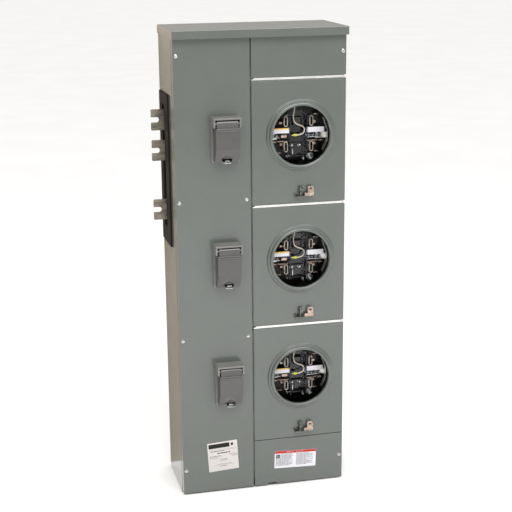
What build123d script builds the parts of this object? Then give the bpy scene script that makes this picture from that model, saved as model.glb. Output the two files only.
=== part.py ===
from build123d import *
import math
import os

# Three-position meter socket enclosure with a branch breaker beside each socket.
# Millimetres. X runs to the right as seen from the front, Y runs back towards the wall, Z is up.
# The origin is the centre of the wall bolt pattern, on the plane of the wall. Below, "depth" is a
# distance out from the wall, and "setback" is a distance behind the faces of the covers.

# Enclosure body
body_width = 482.0
body_height = 1330.0
front_depth = 219.5
cover_depth = 21.5
sheet = 1.6
bend_radius = 3.0
return_width = 18.0
fold_gap = 0.6
wall_bolt_hole = 10.3
wall_bolt_inset_x = 37.8
wall_bolt_inset_z = 65.0

# Rain cap
cap_overhang = 15.5
cap_skirt = 21.5

# Covers of the front
cover_sheet = 1.5
edge_inset = 1.0
seam_x = -29.0
seam_width = 3.5
seam_gap = 9.0
thin_seam = 1.5
top_inset = 3.0
bottom_inset = 4.0
lift_notch_offset = 53.0
lift_notch_width = 26.0
lift_notch_height = 5.5

# Meter positions
places = ["top", "middle", "bottom"]
meter_offset = 5.125
meter_pitch = 351.0
lowest_meter = 337.5
cover_below_meter = 190.0
meter_opening = 163.0
ring_land = 8.5
ring_flare = 8.0
ring_rise = 12.0
ring_bend = 4.5
ring_lip_bend = 2.2
ring_step_rise = 4.5
ring_step_width = 5.0
ring_step_bend = 2.0
ring_foot_bend = 2.5
lip_reach = 9.0
cover_lift = 60.0

# Rails and post behind the seams
post_width = 40.0
post_depth = 28.0
rail_height = 34.0
rail_nose_gap = 1.25
rail_setback = 2.0
rail_end_notch = 6.0
end_rail_height = 20.0

# Cover screws
screw_top_inset = 66.0
screw_bottom_inset = 76.0
screw_inset = 10.0
post_screw_inset = 14.0
screw_radius = 3.0
screw_head_radius = 5.2
screw_head = 4.0
screw_gap = 0.2
screw_end = 8.0

# Horizontal bus, up from the top meter's centre, and the links that join the next enclosure
bus_offsets = {"a": 40.0, "b": -45.5, "neutral": -213.5}
bus_thickness = 4.0
bus_height = 38.0
bus_end_gap = 9.0
link_thickness = 4.0
link_height = 58.0
link_projection = 41.0
link_length = 92.0
link_fork_slot = 15.0
link_fork_depth = 22.5
link_travel = 34.0
link_bolt_radius = 4.75
link_bolt_inset = 36.0
link_bolt_head = 8.0
link_gap = 0.4
bus_support_width = 30.0
left_support_inset = 81.0
right_support_inset = 41.0

# Openings in the side walls and what closes them
window_above_bus = 73.5
window_below_bus = 97.0
window_back = 19.0
window_front_gap = 51.0
window_border = 14.0
insulator_thickness = 5.0
insulator_slot_back = 24.0
insulator_slot_front = 8.0
insulator_slot_above = 12.0
insulator_slot_below = 20.0

# Vertical bus behind the sockets, and bars to the breakers
riser_pad = 10.0
riser_thickness = 4.0
riser_width = 20.0
bar_gap = 14.0
load_bar_thickness = 3.0
load_bar_height = 18.0
load_bar_drop = 20.0
load_bar_gap = 21.0

# Socket
jaw_spacing_x = 73.0
jaw_spacing_z = 71.0
jaw_setback = 22.0
jaw_height = 29.0
jaw_width = 11.0
jaw_length = 25.5
jaw_slot = 2.6
jaw_slot_height = 19.0
jaw_slot_depth = 20.0
jaw_eye_radius = 2.3
stem_thickness = 3.0
stem_height = 20.0
stem_gap = 0.5
block_setback = 51.5
block_thickness = 28.0
block_low = -78.0
block_high = 94.0
block_corner = 12.0
block_side = 10.0
leg_radius = 6.0
leg_gap = 1.5
leg_low = -71.0
leg_high = 72.0
shelf_low = 3.0
shelf_height = 13.0
shelf_gap = 2.0
shelf_end_gap = 7.5
shelf_setback = 29.5
shield_gap = 8.0
shield_wall = 2.0
shield_low = -66.0
shield_high = 62.0
shield_setback = 20.5
shield_notch_x = 8.0
shield_notch_radius = 9.0
support_sheet = 1.6
support_depth = 15.0
support_inset = 11.0
support_clearance = 1.5
support_heights = [42.0, 8.0, -20.0, -48.0]
support_foot_overlap = 8.0
lug_z = -66.0
lug_radius = 10.0
lug_length = 18.0
lug_screw_radius = 6.0
lug_screw_recess = 5.0

# Test lead inside each socket: places from the meter's centre, across and up
lead_radius = 1.6
lead_setback = 33.5
lead_route = [(-8.0, 84.0), (-8.0, 67.0), (-13.5, 47.0), (-9.0, 27.0), (21.5, 17.5), (17.5, -5.0), (-3.0, -5.0)]
sleeve_radius = 3.3
sleeve_length = 9.0
terminal_length = 8.0
terminal_width = 7.0
terminal_thickness = 1.0
boss_width = 14.0

# Breaker
breaker_offset = 74.0
breaker_width = 54.0
breaker_low = -70.0
breaker_high = 50.0
breaker_setback = 14.5
nose_width = 44.0
nose_height = 48.0
nose_proud = 9.0
handle_z = -12.0
handle_pivot = 2.0
handle_rotor = 8.0
handle_width = 30.0
handle_reach = 20.0
handle_thickness = 8.0
handle_tilt = 18.0
handle_taper = 3.0
handle_stub = 3.0
handle_stub_radius = 2.5
handle_gap = 0.5
pin_clearance = 0.06

# Breaker hood and its lid: heights from the meter's centre, "proud" distances from the covers' faces
cutout_width = 58.0
cutout_low = -55.0
cutout_high = 47.0
hood_width = 76.0
hood_low = -63.0
hood_high = 62.0
hood_base = 8.0
hood_proud = 44.0
hood_roof = 2.5
hood_lip = 5.0
ear_thickness = 4.6
ear_low = 36.0
ear_proud = 42.0
crescent_radius = 15.0
crescent_drop = 7.0
lid_side_gap = 0.8
lid_top = 34.0
lid_back = 10.0
lid_front = 45.0
lid_bend = -24.5
lid_bottom = -59.5
lid_toe = 25.0
lid_wall = 2.4
hinge_proud = 34.0
hinge_z = 46.0
barrel_radius = 10.0
barrel_end_gap = 3.5
lid_pin_radius = 2.5
neck_proud = (30.0, 42.5)
rib_radius = 2.0
rib_levels = [32.0, 26.5]
tongue_width = 25.0
tongue_thickness = 1.6
tongue_rise = 11.5
tongue_reach = 36.0
tongue_tilt = 20.0
tongue_corner = 9.0
tongue_slot = (15.0, 8.5)
tongue_rim = 3.5
tongue_slot_rise = 10.5
tongue_gap = 1.5
bump_radius = 16.0
bump_rise = 1.5

# Hasp below each socket: across from the meter's centre, up from the cover's lower edge
hasp_across = (-19.5, 34.0)
hasp_low = 20.0
hasp_height = 10.0
hasp_sheet = 2.0
hasp_proud = 14.0
hasp_tab_across = (-6.0, 5.5)
hasp_tab_height = 28.0
hasp_flag_low = 12.0
hasp_flag_proud = 6.0
hasp_tab_hole = 2.0
latch_inset = 26.0
latch_ear_inset = 16.5
latch_ear_height = 26.0
latch_corner = 5.0
latch_hole = 3.5
latch_gap = 0.4

# Labels: places from the middle of the cover and up from the bottom
label_thickness = 0.3
rating_size = (89.0, 90.0)
rating_offset = (13.375, 111.0)
rating_tilt = 3.2
warning_size = (126.0, 54.0)
warning_offset = (-10.875, 78.0)
warning_tilt = -2.3

# Knockouts in the bottom, each a set of rings
knockout_pitch = 150.0
knockout_depth = 100.0
knockout_radii = [17.5, 25.5, 32.0]
knockout_groove = 1.2

# Worked out from the sizes above
body_low = -body_height / 2
body_high = body_height / 2
side_depth = front_depth - cover_depth
inner_half = body_width / 2 - sheet
return_edge = body_width / 2 - return_width
left_cover = (-body_width / 2 + edge_inset, seam_x - seam_width / 2)
right_cover = (seam_x + seam_width / 2, body_width / 2 - edge_inset)
meter_x = sum(right_cover) / 2 + meter_offset
meter_z = [body_low + lowest_meter + step * meter_pitch for step in (2, 1, 0)]
cover_above_meter = meter_pitch - cover_below_meter - seam_gap
upper_panel_low = meter_z[0] + cover_above_meter + seam_gap
lower_panel_high = meter_z[2] - cover_below_meter - thin_seam
screw_pitch = (body_height - screw_top_inset - screw_bottom_inset) / 3
screw_rows = [body_high - screw_top_inset - step * screw_pitch for step in range(4)]
cover_screw_x = body_width / 2 - screw_inset
post_screw_x = seam_x - post_screw_inset
breaker_x = seam_x - breaker_offset
ring_front = meter_opening + 2 * ring_land
ring_base = ring_front + 2 * ring_flare
jaw_front = front_depth - jaw_setback
block_front = front_depth - block_setback
block_back = block_front - block_thickness
leg_x = jaw_spacing_x / 2 + riser_width / 2 + leg_gap + leg_radius
block_half = leg_x + block_side
shield_half = jaw_spacing_x / 2 - jaw_width / 2 - shield_gap
load_bar_back = block_back - load_bar_gap - load_bar_thickness
load_bar_front = load_bar_back + load_bar_thickness
riser_front = load_bar_back - bar_gap
riser_back = riser_front - riser_thickness
link_back = riser_back - riser_pad
link_front = link_back + link_thickness
bus_back = link_back - bus_thickness
bus_levels = {phase: meter_z[0] + offset for phase, offset in bus_offsets.items()}
window = (bus_levels["neutral"] - window_below_bus, bus_levels["a"] + window_above_bus)
window_front = side_depth - window_front_gap
link_tip = -body_width / 2 - link_projection
link_bolt_x = -body_width / 2 + link_bolt_inset
lead_depth = front_depth - lead_setback
breaker_front = front_depth - breaker_setback
lid_width = hood_width - 2 * ear_thickness - 2 * lid_side_gap


def block(across, depths, heights, mode=Mode.ADD):
    """Rectangular block between pairs of sides: left and right, back and front, low and high."""
    middle = (sum(across) / 2, -sum(depths) / 2, sum(heights) / 2)
    with Locations(middle):
        Box(across[1] - across[0], depths[1] - depths[0], heights[1] - heights[0], mode=mode)


def drum(x, z, radius, depths, mode=Mode.ADD):
    """Cylinder that runs from back to front."""
    with Locations(Location((x, -sum(depths) / 2, z), (90, 0, 0))):
        Cylinder(radius, depths[1] - depths[0], mode=mode)


def spindle(across, depth, z, radius, mode=Mode.ADD):
    """Cylinder that runs from left to right."""
    with Locations(Location((sum(across) / 2, -depth, z), (0, 90, 0))):
        Cylinder(radius, across[1] - across[0], mode=mode)


def around(centre, half):
    return (centre - half, centre + half)


def side_plane(x, z):
    """Sketch plane across the enclosure: first axis out from the covers' face, second axis up."""
    return Plane(origin=(x, -front_depth, z), x_dir=(0, -1, 0), z_dir=(-1, 0, 0))


def make_enclosure_shell():
    with BuildPart() as enclosure_shell:
        with BuildSketch(Plane.XY.offset(body_low)):
            with Locations((0, -side_depth / 2)):
                RectangleRounded(body_width, side_depth, bend_radius)
                RectangleRounded(2 * inner_half, side_depth - 2 * sheet, bend_radius - sheet, mode=Mode.SUBTRACT)
            with Locations((0, -side_depth)):
                Rectangle(2 * return_edge, 4 * sheet, mode=Mode.SUBTRACT)
        extrude(amount=body_height)
        with BuildSketch(Plane.XZ):
            with GridLocations(body_width - 2 * wall_bolt_inset_x, body_height - 2 * wall_bolt_inset_z, 2, 2):
                Circle(wall_bolt_hole / 2)
        extrude(amount=sheet, mode=Mode.SUBTRACT)
        block(
            (-body_width / 2, body_width / 2),
            (window_back + window_border, window_front - window_border),
            (window[0] + window_border, window[1] - window_border),
            mode=Mode.SUBTRACT,
        )
        for x, z in screw_places():
            if abs(x) > return_edge:
                drum(x, z, screw_radius + screw_gap, (side_depth - sheet, side_depth), mode=Mode.SUBTRACT)
    enclosure_shell.part.label = "enclosure_shell"
    export_step(enclosure_shell.part, "parts/enclosure_shell.step")


def make_top_cap():
    half = body_width / 2 + fold_gap + sheet
    top = body_high + sheet
    with BuildPart() as top_cap:
        block((-half, half), (0, front_depth + cap_overhang), (top - cap_skirt - sheet, top))
        front = top_cap.edges().group_by(Axis.Y)[0].filter_by(Axis.Z)
        upper = top_cap.edges().group_by(Axis.Z)[-1].filter_by(lambda edge: edge.center().Y < -1)
        fillet(front + upper, bend_radius)
        block(
            (sheet - half, half - sheet),
            (-1, front_depth + cap_overhang - sheet),
            (top - cap_skirt - 2 * sheet, body_high),
            mode=Mode.SUBTRACT,
        )
    top_cap.part.label = "top_cap"
    export_step(top_cap.part, "parts/top_cap.step")


def make_bottom_endwall():
    half = inner_half - fold_gap
    back = sheet + fold_gap
    inside_front = side_depth - sheet - fold_gap
    flange_high = body_low + end_rail_height
    with BuildPart() as bottom_endwall:
        block((-half, half), (back, inside_front), (body_low, flange_high))
        block(
            (sheet - half, half - sheet),
            (back + sheet, inside_front + sheet),
            (body_low + sheet, flange_high + sheet),
            mode=Mode.SUBTRACT,
        )
        tongue = return_edge - fold_gap
        block((-tongue, tongue), (inside_front - sheet, side_depth), (body_low, body_low + sheet))
        block((-tongue, tongue), (side_depth - sheet, side_depth), (body_low, flange_high))
        block(
            around(right_cover[0] + lift_notch_offset, lift_notch_width / 2),
            (side_depth - sheet, side_depth),
            (body_low + bottom_inset + sheet, body_low + bottom_inset + lift_notch_height),
            mode=Mode.SUBTRACT,
        )
        for x in (-knockout_pitch, 0, knockout_pitch):
            for radius in knockout_radii:
                with BuildSketch(Plane.XY.offset(body_low)) as ring:
                    with Locations((x, -knockout_depth)):
                        Circle(radius + knockout_groove / 2)
                        Circle(radius - knockout_groove / 2, mode=Mode.SUBTRACT)
                extrude(ring.sketch, amount=sheet / 2, mode=Mode.SUBTRACT)
    bottom_endwall.part.label = "bottom_endwall"
    export_step(bottom_endwall.part, "parts/bottom_endwall.step")


def make_centre_post():
    """Post behind the vertical seam, a channel open to the back."""
    sides = around(seam_x, post_width / 2)
    low = body_low + end_rail_height
    high = body_high - end_rail_height
    with BuildPart() as centre_post:
        block(sides, (side_depth - post_depth, side_depth), (low, high))
        block(
            (sides[0] + sheet, sides[1] - sheet),
            (side_depth - post_depth - sheet, side_depth - sheet),
            (low - sheet, high + sheet),
            mode=Mode.SUBTRACT,
        )
        for x, z in screw_places():
            if x == post_screw_x:
                drum(x, z, screw_radius + screw_gap, (side_depth - sheet, side_depth), mode=Mode.SUBTRACT)
    centre_post.part.label = "centre_post"
    export_step(centre_post.part, "parts/centre_post.step")


def add_nosed_rail(z):
    """Rail under a wide seam: flat feet between post and wall, and a hollow nose between two covers."""
    feet = (seam_x + post_width / 2, return_edge)
    nose = (right_cover[0] + edge_inset, right_cover[1] - edge_inset)
    nose_half = seam_gap / 2 - rail_nose_gap
    nose_front = front_depth - rail_setback
    block(feet, (side_depth - sheet, side_depth), around(z, rail_height / 2))
    block(nose, (side_depth, nose_front), around(z, nose_half))
    block(
        (feet[0] + sheet, feet[1] - sheet),
        (side_depth - 2 * sheet, nose_front - cover_sheet),
        around(z, nose_half - cover_sheet),
        mode=Mode.SUBTRACT,
    )
    for side in (-1, 1):
        end = nose[0] if side < 0 else nose[1]
        across = sorted((end, end - side * rail_end_notch))
        block(across, (side_depth, nose_front), (z, z + nose_half), mode=Mode.SUBTRACT)


def make_cover_rails():
    with BuildPart() as cover_rails:
        for z in meter_z:
            add_nosed_rail(z + cover_above_meter + seam_gap / 2)
        feet = (seam_x + post_width / 2, return_edge)
        depths = (side_depth - sheet, side_depth)
        block(feet, depths, around(lower_panel_high + thin_seam / 2, rail_height / 2))
        block((-return_edge, return_edge), depths, (body_high - end_rail_height, body_high))
    cover_rails.part.label = "cover_rails"
    export_step(cover_rails.part, "parts/cover_rails.step")


def add_pan(cover, across, heights):
    """Folded cover: a face with four flanges that stand on the body's front."""
    block(across, (side_depth, front_depth), heights)
    fillet(cover.edges().group_by(Axis.Y)[0], cover_sheet)
    block(
        (across[0] + cover_sheet, across[1] - cover_sheet),
        (side_depth - cover_sheet, front_depth - cover_sheet),
        (heights[0] + cover_sheet, heights[1] - cover_sheet),
        mode=Mode.SUBTRACT,
    )


def cut_screw_holes(across):
    for x, z in screw_places():
        if across[0] < x < across[1]:
            drum(x, z, screw_radius + screw_gap, (front_depth - cover_sheet, front_depth), mode=Mode.SUBTRACT)


def make_wiring_cover():
    with BuildPart() as wiring_cover:
        add_pan(wiring_cover, left_cover, (body_low + bottom_inset, body_high - top_inset))
        for z in meter_z:
            block(
                around(breaker_x, cutout_width / 2),
                (front_depth - cover_sheet, front_depth),
                (z + cutout_low, z + cutout_high),
                mode=Mode.SUBTRACT,
            )
        cut_screw_holes(left_cover)
    wiring_cover.part.label = "wiring_cover"
    export_step(wiring_cover.part, "parts/wiring_cover.step")


def make_upper_panel():
    with BuildPart() as upper_panel:
        add_pan(upper_panel, right_cover, (upper_panel_low, body_high - top_inset))
        cut_screw_holes(right_cover)
    upper_panel.part.label = "upper_panel"
    export_step(upper_panel.part, "parts/upper_panel.step")


def make_lower_panel():
    low = body_low + bottom_inset
    with BuildPart() as lower_panel:
        add_pan(lower_panel, right_cover, (low, lower_panel_high))
        cut_screw_holes(right_cover)
        block(
            around(right_cover[0] + lift_notch_offset, lift_notch_width / 2),
            (front_depth - cover_depth, front_depth),
            (low, low + lift_notch_height),
            mode=Mode.SUBTRACT,
        )
    lower_panel.part.label = "lower_panel"
    export_step(lower_panel.part, "parts/lower_panel.step")


def ring_section(z):
    """Half section of the drawn ring round a socket opening: one bent sheet with a low step outside its crest."""
    middle = cover_sheet / 2
    foot = ring_base / 2
    crest = ring_front / 2
    hole = meter_opening / 2 + middle
    with BuildSketch(Plane(origin=(meter_x, -front_depth, z), x_dir=(1, 0, 0), z_dir=(0, 0, 1))) as section:
        with BuildLine():
            FilletPolyline(
                (foot + 2 * ring_foot_bend, middle),
                (foot, middle),
                (foot - ring_foot_bend, middle - ring_step_rise),
                (foot - ring_foot_bend - ring_step_width, middle - ring_step_rise),
                (crest - middle, middle - ring_rise),
                (hole, middle - ring_rise),
                (hole, lip_reach - ring_rise),
                radius=[ring_foot_bend, ring_step_bend, ring_step_bend, ring_bend, ring_lip_bend],
            )
            offset(amount=middle, kind=Kind.TANGENT)
        make_face()
    return section.sketch


def make_meter_cover(place, z):
    with BuildPart() as meter_cover:
        add_pan(meter_cover, right_cover, (z - cover_below_meter, z + cover_above_meter))
        hole_depths = (front_depth - cover_sheet, front_depth)
        drum(meter_x, z, ring_base / 2 + ring_foot_bend, hole_depths, mode=Mode.SUBTRACT)
        revolve(ring_section(z), axis=Axis((meter_x, 0, z), (0, 1, 0)))
    meter_cover.part.label = "meter_cover_" + place
    export_step(meter_cover.part, f"parts/{meter_cover.part.label}.step")


def make_hasp_bracket(place, z):
    """Ledge with an upright web and a seal tab folded off it, on the cover under the socket."""
    low = z - cover_below_meter + hasp_low
    across = (meter_x + hasp_across[0], meter_x + hasp_across[1])
    with BuildPart() as hasp_bracket:
        block(across, (front_depth, front_depth + hasp_sheet), (low, low + hasp_height))
        block(across, (front_depth, front_depth + hasp_proud), (low, low + hasp_sheet))
        left = meter_x + hasp_tab_across[0]
        top = low + hasp_tab_height
        block((left, left + hasp_sheet), (front_depth, front_depth + hasp_proud), (low, top))
        corner = hasp_bracket.edges().filter_by(Axis.X).group_by(Axis.Z)[-1].sort_by(Axis.Y)[0]
        fillet(corner, hasp_proud / 3)
        flag = (front_depth + hasp_flag_proud, front_depth + hasp_flag_proud + hasp_sheet)
        flag_across = (left, meter_x + hasp_tab_across[1])
        block(flag_across, flag, (low + hasp_flag_low, top))
        hole_z = top - 2 * hasp_sheet
        drum(sum(flag_across) / 2, hole_z, hasp_tab_hole, flag, mode=Mode.SUBTRACT)
    hasp_bracket.part.label = "hasp_bracket_" + place
    export_step(hasp_bracket.part, f"parts/{hasp_bracket.part.label}.step")


def make_hasp_latch(place, z):
    """Sliding latch: a tray that runs on the ledge, and an ear with a padlock hole."""
    low = z - cover_below_meter + hasp_low + hasp_sheet + latch_gap
    back = front_depth + hasp_sheet + latch_gap
    front = front_depth + hasp_proud
    right = meter_x + hasp_across[1]
    tray = (right - latch_inset, right)
    with BuildPart() as hasp_latch:
        block(tray, (back, front), (low, low + hasp_sheet))
        block(tray, (front - hasp_sheet, front), (low, low + hasp_height - hasp_sheet))
        ear_depths = (front - 2 * hasp_sheet, front - hasp_sheet)
        block((right - latch_ear_inset, right), ear_depths, (low, low + latch_ear_height))
        corners = hasp_latch.edges().filter_by(Axis.Y).group_by(Axis.Z)[-1]
        fillet(corners, latch_corner)
        hole_z = low + latch_ear_height - 2 * latch_hole
        drum(right - latch_ear_inset / 2, hole_z, latch_hole, ear_depths, mode=Mode.SUBTRACT)
    hasp_latch.part.label = "hasp_latch_" + place
    export_step(hasp_latch.part, f"parts/{hasp_latch.part.label}.step")


def screw_places():
    """Centres of the cover screws: the wiring cover's outer edge and post edge, and the end panels."""
    outer = [(-cover_screw_x, z) for z in screw_rows]
    inner = [(post_screw_x, z) for z in screw_rows[1:3]]
    panels = [(cover_screw_x, z) for z in (screw_rows[0], screw_rows[3])]
    return outer + inner + panels


def make_cover_screws():
    with BuildPart() as cover_screws:
        for x, z in screw_places():
            drum(x, z, screw_radius, (side_depth - screw_end, front_depth))
            with BuildSketch(Plane.XZ.offset(front_depth)) as head:
                with Locations((x, z)):
                    RegularPolygon(screw_head_radius, 6)
            extrude(head.sketch, amount=screw_head)
    cover_screws.part.label = "cover_screws"
    export_step(cover_screws.part, "parts/cover_screws.step")


def make_label(name, size, cover, offset_from_cover, tilt):
    centre = (sum(cover) / 2 + offset_from_cover[0], body_low + offset_from_cover[1])
    with BuildPart() as label:
        with BuildSketch(Plane.XZ.offset(front_depth)):
            with Locations(Location((*centre, 0), (0, 0, tilt))):
                RectangleRounded(*size, 2 * label_thickness)
        extrude(amount=label_thickness)
    label.part.label = name
    export_step(label.part, f"parts/{name}.step")


def make_bus_window_insulator():
    outside = (-body_width / 2 - insulator_thickness, -body_width / 2)
    with BuildPart() as bus_window_insulator:
        block(outside, (window_back, window_front), window)
        fillet(bus_window_insulator.edges().group_by(Axis.X)[0], insulator_thickness / 4)
        slot_low = bus_levels["neutral"] - link_height / 2 - insulator_slot_below
        slot_high = bus_levels["a"] + link_height / 2 + insulator_slot_above
        slot_depths = (link_back - insulator_slot_back, link_front + insulator_slot_front)
        block(outside, slot_depths, (slot_low, slot_high), mode=Mode.SUBTRACT)
    bus_window_insulator.part.label = "bus_window_insulator"
    export_step(bus_window_insulator.part, "parts/bus_window_insulator.step")


def make_bus_window_plate():
    """Plate that closes the window in the right side until another enclosure is joined there."""
    outside = (body_width / 2, body_width / 2 + sheet)
    with BuildPart() as bus_window_plate:
        block(outside, (window_back, window_front), window)
        fillet(bus_window_plate.edges().filter_by(Axis.X), bend_radius)
    bus_window_plate.part.label = "bus_window_plate"
    export_step(bus_window_plate.part, "parts/bus_window_plate.step")


def make_cross_bus(phase, z):
    end = inner_half - bus_end_gap
    with BuildPart() as cross_bus:
        block((-end, end), (bus_back, link_back), around(z, bus_height / 2))
    cross_bus.part.label = "cross_bus_" + phase
    export_step(cross_bus.part, f"parts/{cross_bus.part.label}.step")


def make_bus_link(phase, z):
    """Sliding link with a fork outside for the next enclosure's bolt, and a slot inside."""
    slot_radius = link_bolt_radius + link_gap
    fork_end = link_tip + link_fork_depth
    with BuildPart() as bus_link:
        block((link_tip, link_tip + link_length), (link_back, link_front), around(z, link_height / 2))
        fillet(bus_link.edges().filter_by(Axis.Y), bend_radius)
        with BuildSketch(Plane.XZ.offset(link_back)):
            with Locations((fork_end - link_fork_slot / 2, z)):
                Circle(link_fork_slot / 2)
            with Locations(((link_tip + fork_end - link_fork_slot / 2) / 2, z)):
                Rectangle(link_fork_depth - link_fork_slot / 2, link_fork_slot)
            with Locations((link_bolt_x - link_travel / 2, z)):
                SlotCenterToCenter(link_travel, 2 * slot_radius)
        extrude(amount=link_thickness, mode=Mode.SUBTRACT)
    bus_link.part.label = "bus_link_" + phase
    export_step(bus_link.part, f"parts/{bus_link.part.label}.step")


def make_bus_link_bolts():
    head_back = link_front + link_gap
    with BuildPart() as bus_link_bolts:
        for z in bus_levels.values():
            drum(link_bolt_x, z, link_bolt_radius, (link_back, head_back))
            drum(link_bolt_x, z, 2 * link_bolt_radius, (head_back, head_back + sheet))
            with BuildSketch(Plane.XZ.offset(head_back + sheet)) as head:
                with Locations((link_bolt_x, z)):
                    RegularPolygon(2 * link_bolt_radius, 6)
            extrude(head.sketch, amount=link_bolt_head)
    bus_link_bolts.part.label = "bus_link_bolts"
    export_step(bus_link_bolts.part, "parts/bus_link_bolts.step")


def make_bus_supports():
    """Insulators that hold the horizontal bus off the back wall."""
    left = left_support_inset - body_width / 2
    right = body_width / 2 - right_support_inset
    with BuildPart() as bus_supports:
        for z in bus_levels.values():
            for x in (left, right):
                block(around(x, bus_support_width / 2), (sheet, bus_back), around(z, bus_height / 2))
    bus_supports.part.label = "bus_supports"
    export_step(bus_supports.part, "parts/bus_supports.step")


def make_line_risers():
    """Vertical bus behind each column of line jaws, with a pad that reaches back to its cross bus."""
    low = meter_z[2] + jaw_spacing_z / 2 - stem_height
    high = meter_z[0] + jaw_spacing_z / 2 + stem_height
    with BuildPart() as line_risers:
        for phase, side in (("a", -1), ("b", 1)):
            across = around(meter_x + side * jaw_spacing_x / 2, riser_width / 2)
            block(across, (riser_back, riser_front), (low, high))
            block(across, (link_back, riser_back), around(bus_levels[phase], bus_height / 2))
    line_risers.part.label = "line_risers"
    export_step(line_risers.part, "parts/line_risers.step")


def make_load_bars():
    """Flat bars from the load jaws to the backs of the breakers, two to a position."""
    depths = (load_bar_back, load_bar_front)
    near_x = meter_x - jaw_spacing_x / 2
    far_x = meter_x + jaw_spacing_x / 2
    with BuildPart() as load_bars:
        for z in meter_z:
            jaw_z = z - jaw_spacing_z / 2
            low_z = jaw_z - load_bar_drop
            half = load_bar_height / 2
            block((breaker_x, near_x + riser_width / 2), depths, around(jaw_z, half))
            block((breaker_x - breaker_width / 2, far_x + riser_width / 2), depths, around(low_z, half))
            block(around(far_x, riser_width / 2), depths, (low_z, jaw_z + half))
    load_bars.part.label = "load_bars"
    export_step(load_bars.part, "parts/load_bars.step")


def jaw_places(z):
    """Centres of the four jaws of one socket, with the depth at which each stem starts."""
    for side in (-1, 1):
        x = meter_x + side * jaw_spacing_x / 2
        yield x, z + jaw_spacing_z / 2, riser_front
        yield x, z - jaw_spacing_z / 2, load_bar_front


def make_socket_block(place, z):
    """Moulded insulating block on four legs, with slots for the jaw stems and a shelf across its middle."""
    with BuildPart() as socket_block:
        block(around(meter_x, block_half), (block_back, block_front), (z + block_low, z + block_high))
        chamfer(socket_block.edges().filter_by(Axis.Y), block_corner)
        for side in (-1, 1):
            for up in (leg_low, leg_high):
                drum(meter_x + side * leg_x, z + up, leg_radius, (sheet, block_back))
            inner = shield_half + shield_wall + shelf_gap
            outer = meter_opening / 2 - shelf_end_gap
            across = sorted((meter_x + side * inner, meter_x + side * outer))
            heights = (z + shelf_low, z + shelf_low + shelf_height)
            block(across, (block_front, front_depth - shelf_setback), heights)
        boss = around(meter_x + lead_route[0][0], boss_width / 2)
        block(boss, (block_front, lead_depth + boss_width / 2), (z + lead_route[0][1], z + block_high))
        for x, jaw_z, _ in jaw_places(z):
            block(
                around(x, stem_thickness / 2 + stem_gap),
                (block_back, block_front),
                around(jaw_z, stem_height / 2 + stem_gap),
                mode=Mode.SUBTRACT,
            )
    socket_block.part.label = "socket_block_" + place
    export_step(socket_block.part, f"parts/{socket_block.part.label}.step")


def make_meter_jaws(place, z):
    """Four spring jaws on flat stems; each takes one blade of the meter."""
    jaw_back = jaw_front - jaw_length
    with BuildPart() as meter_jaws:
        for x, jaw_z, start in jaw_places(z):
            block(around(x, stem_thickness / 2), (start, jaw_back), around(jaw_z, stem_height / 2))
            with BuildSketch(Plane.XZ.offset(jaw_back)) as head:
                with Locations(Location((x, jaw_z, 0), (0, 0, 90))):
                    SlotOverall(jaw_height, jaw_width)
            extrude(head.sketch, amount=jaw_length)
            with BuildSketch(Plane.XZ.offset(jaw_front - jaw_slot_depth)) as mouth:
                with Locations((x, jaw_z)):
                    Rectangle(jaw_slot, jaw_slot_height)
                with Locations((x, jaw_z - jaw_slot_height / 2), (x, jaw_z + jaw_slot_height / 2)):
                    Circle(jaw_eye_radius)
            extrude(mouth.sketch, amount=jaw_slot_depth, mode=Mode.SUBTRACT)
    meter_jaws.part.label = "meter_jaws_" + place
    export_step(meter_jaws.part, f"parts/{meter_jaws.part.label}.step")


def make_bypass_shield(place, z):
    """Clear channel that stands on the block between the left and right jaws."""
    shield_front = front_depth - shield_setback
    heights = (z + shield_low, z + shield_high)
    with BuildPart() as bypass_shield:
        block(around(meter_x, shield_half + shield_wall), (block_front, shield_front), heights)
        block(
            around(meter_x, shield_half),
            (block_front + shield_wall, shield_front),
            heights,
            mode=Mode.SUBTRACT,
        )
        notch_depths = (block_front, block_front + shield_wall)
        drum(meter_x + shield_notch_x, heights[0], shield_notch_radius, notch_depths, mode=Mode.SUBTRACT)
    bypass_shield.part.label = "bypass_shield_" + place
    export_step(bypass_shield.part, f"parts/{bypass_shield.part.label}.step")


def make_meter_supports():
    """Bent strips at both sides of each socket, on which the meter's rim rests."""
    middle = meter_opening / 2 + support_clearance
    end = meter_opening / 2 - support_inset
    reach = [end, middle, middle, end]
    with BuildPart() as meter_supports:
        for z in meter_z:
            for side in (-1, 1):
                route = [(meter_x + side * x, z + up) for x, up in zip(reach, support_heights)]
                with BuildSketch(Plane.XZ.offset(jaw_front - support_depth)) as strip:
                    with BuildLine():
                        Polyline(*route)
                        offset(amount=support_sheet / 2)
                    make_face()
                extrude(strip.sketch, amount=support_depth)
                wall = around(meter_x + side * middle, support_sheet / 2)
                foot_inner = meter_x + side * (block_half - support_foot_overlap)
                foot = (min(*wall, foot_inner), max(*wall, foot_inner))
                heights = (z + support_heights[2] + support_sheet, z - support_sheet)
                block(foot, (block_front, block_front + support_sheet), heights)
                block(wall, (block_front, jaw_front), heights)
    meter_supports.part.label = "meter_supports"
    export_step(meter_supports.part, "parts/meter_supports.step")


def make_socket_lugs():
    """Round wire lug with a set screw, under the right-hand load jaw of each socket."""
    x = meter_x + jaw_spacing_x / 2
    front = block_front + lug_length
    with BuildPart() as socket_lugs:
        for z in meter_z:
            drum(x, z + lug_z, lug_radius, (block_front, front))
            recess = (front - lug_screw_recess, front)
            drum(x, z + lug_z, lug_screw_radius, recess, mode=Mode.SUBTRACT)
    socket_lugs.part.label = "socket_lugs"
    export_step(socket_lugs.part, "parts/socket_lugs.step")


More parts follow.
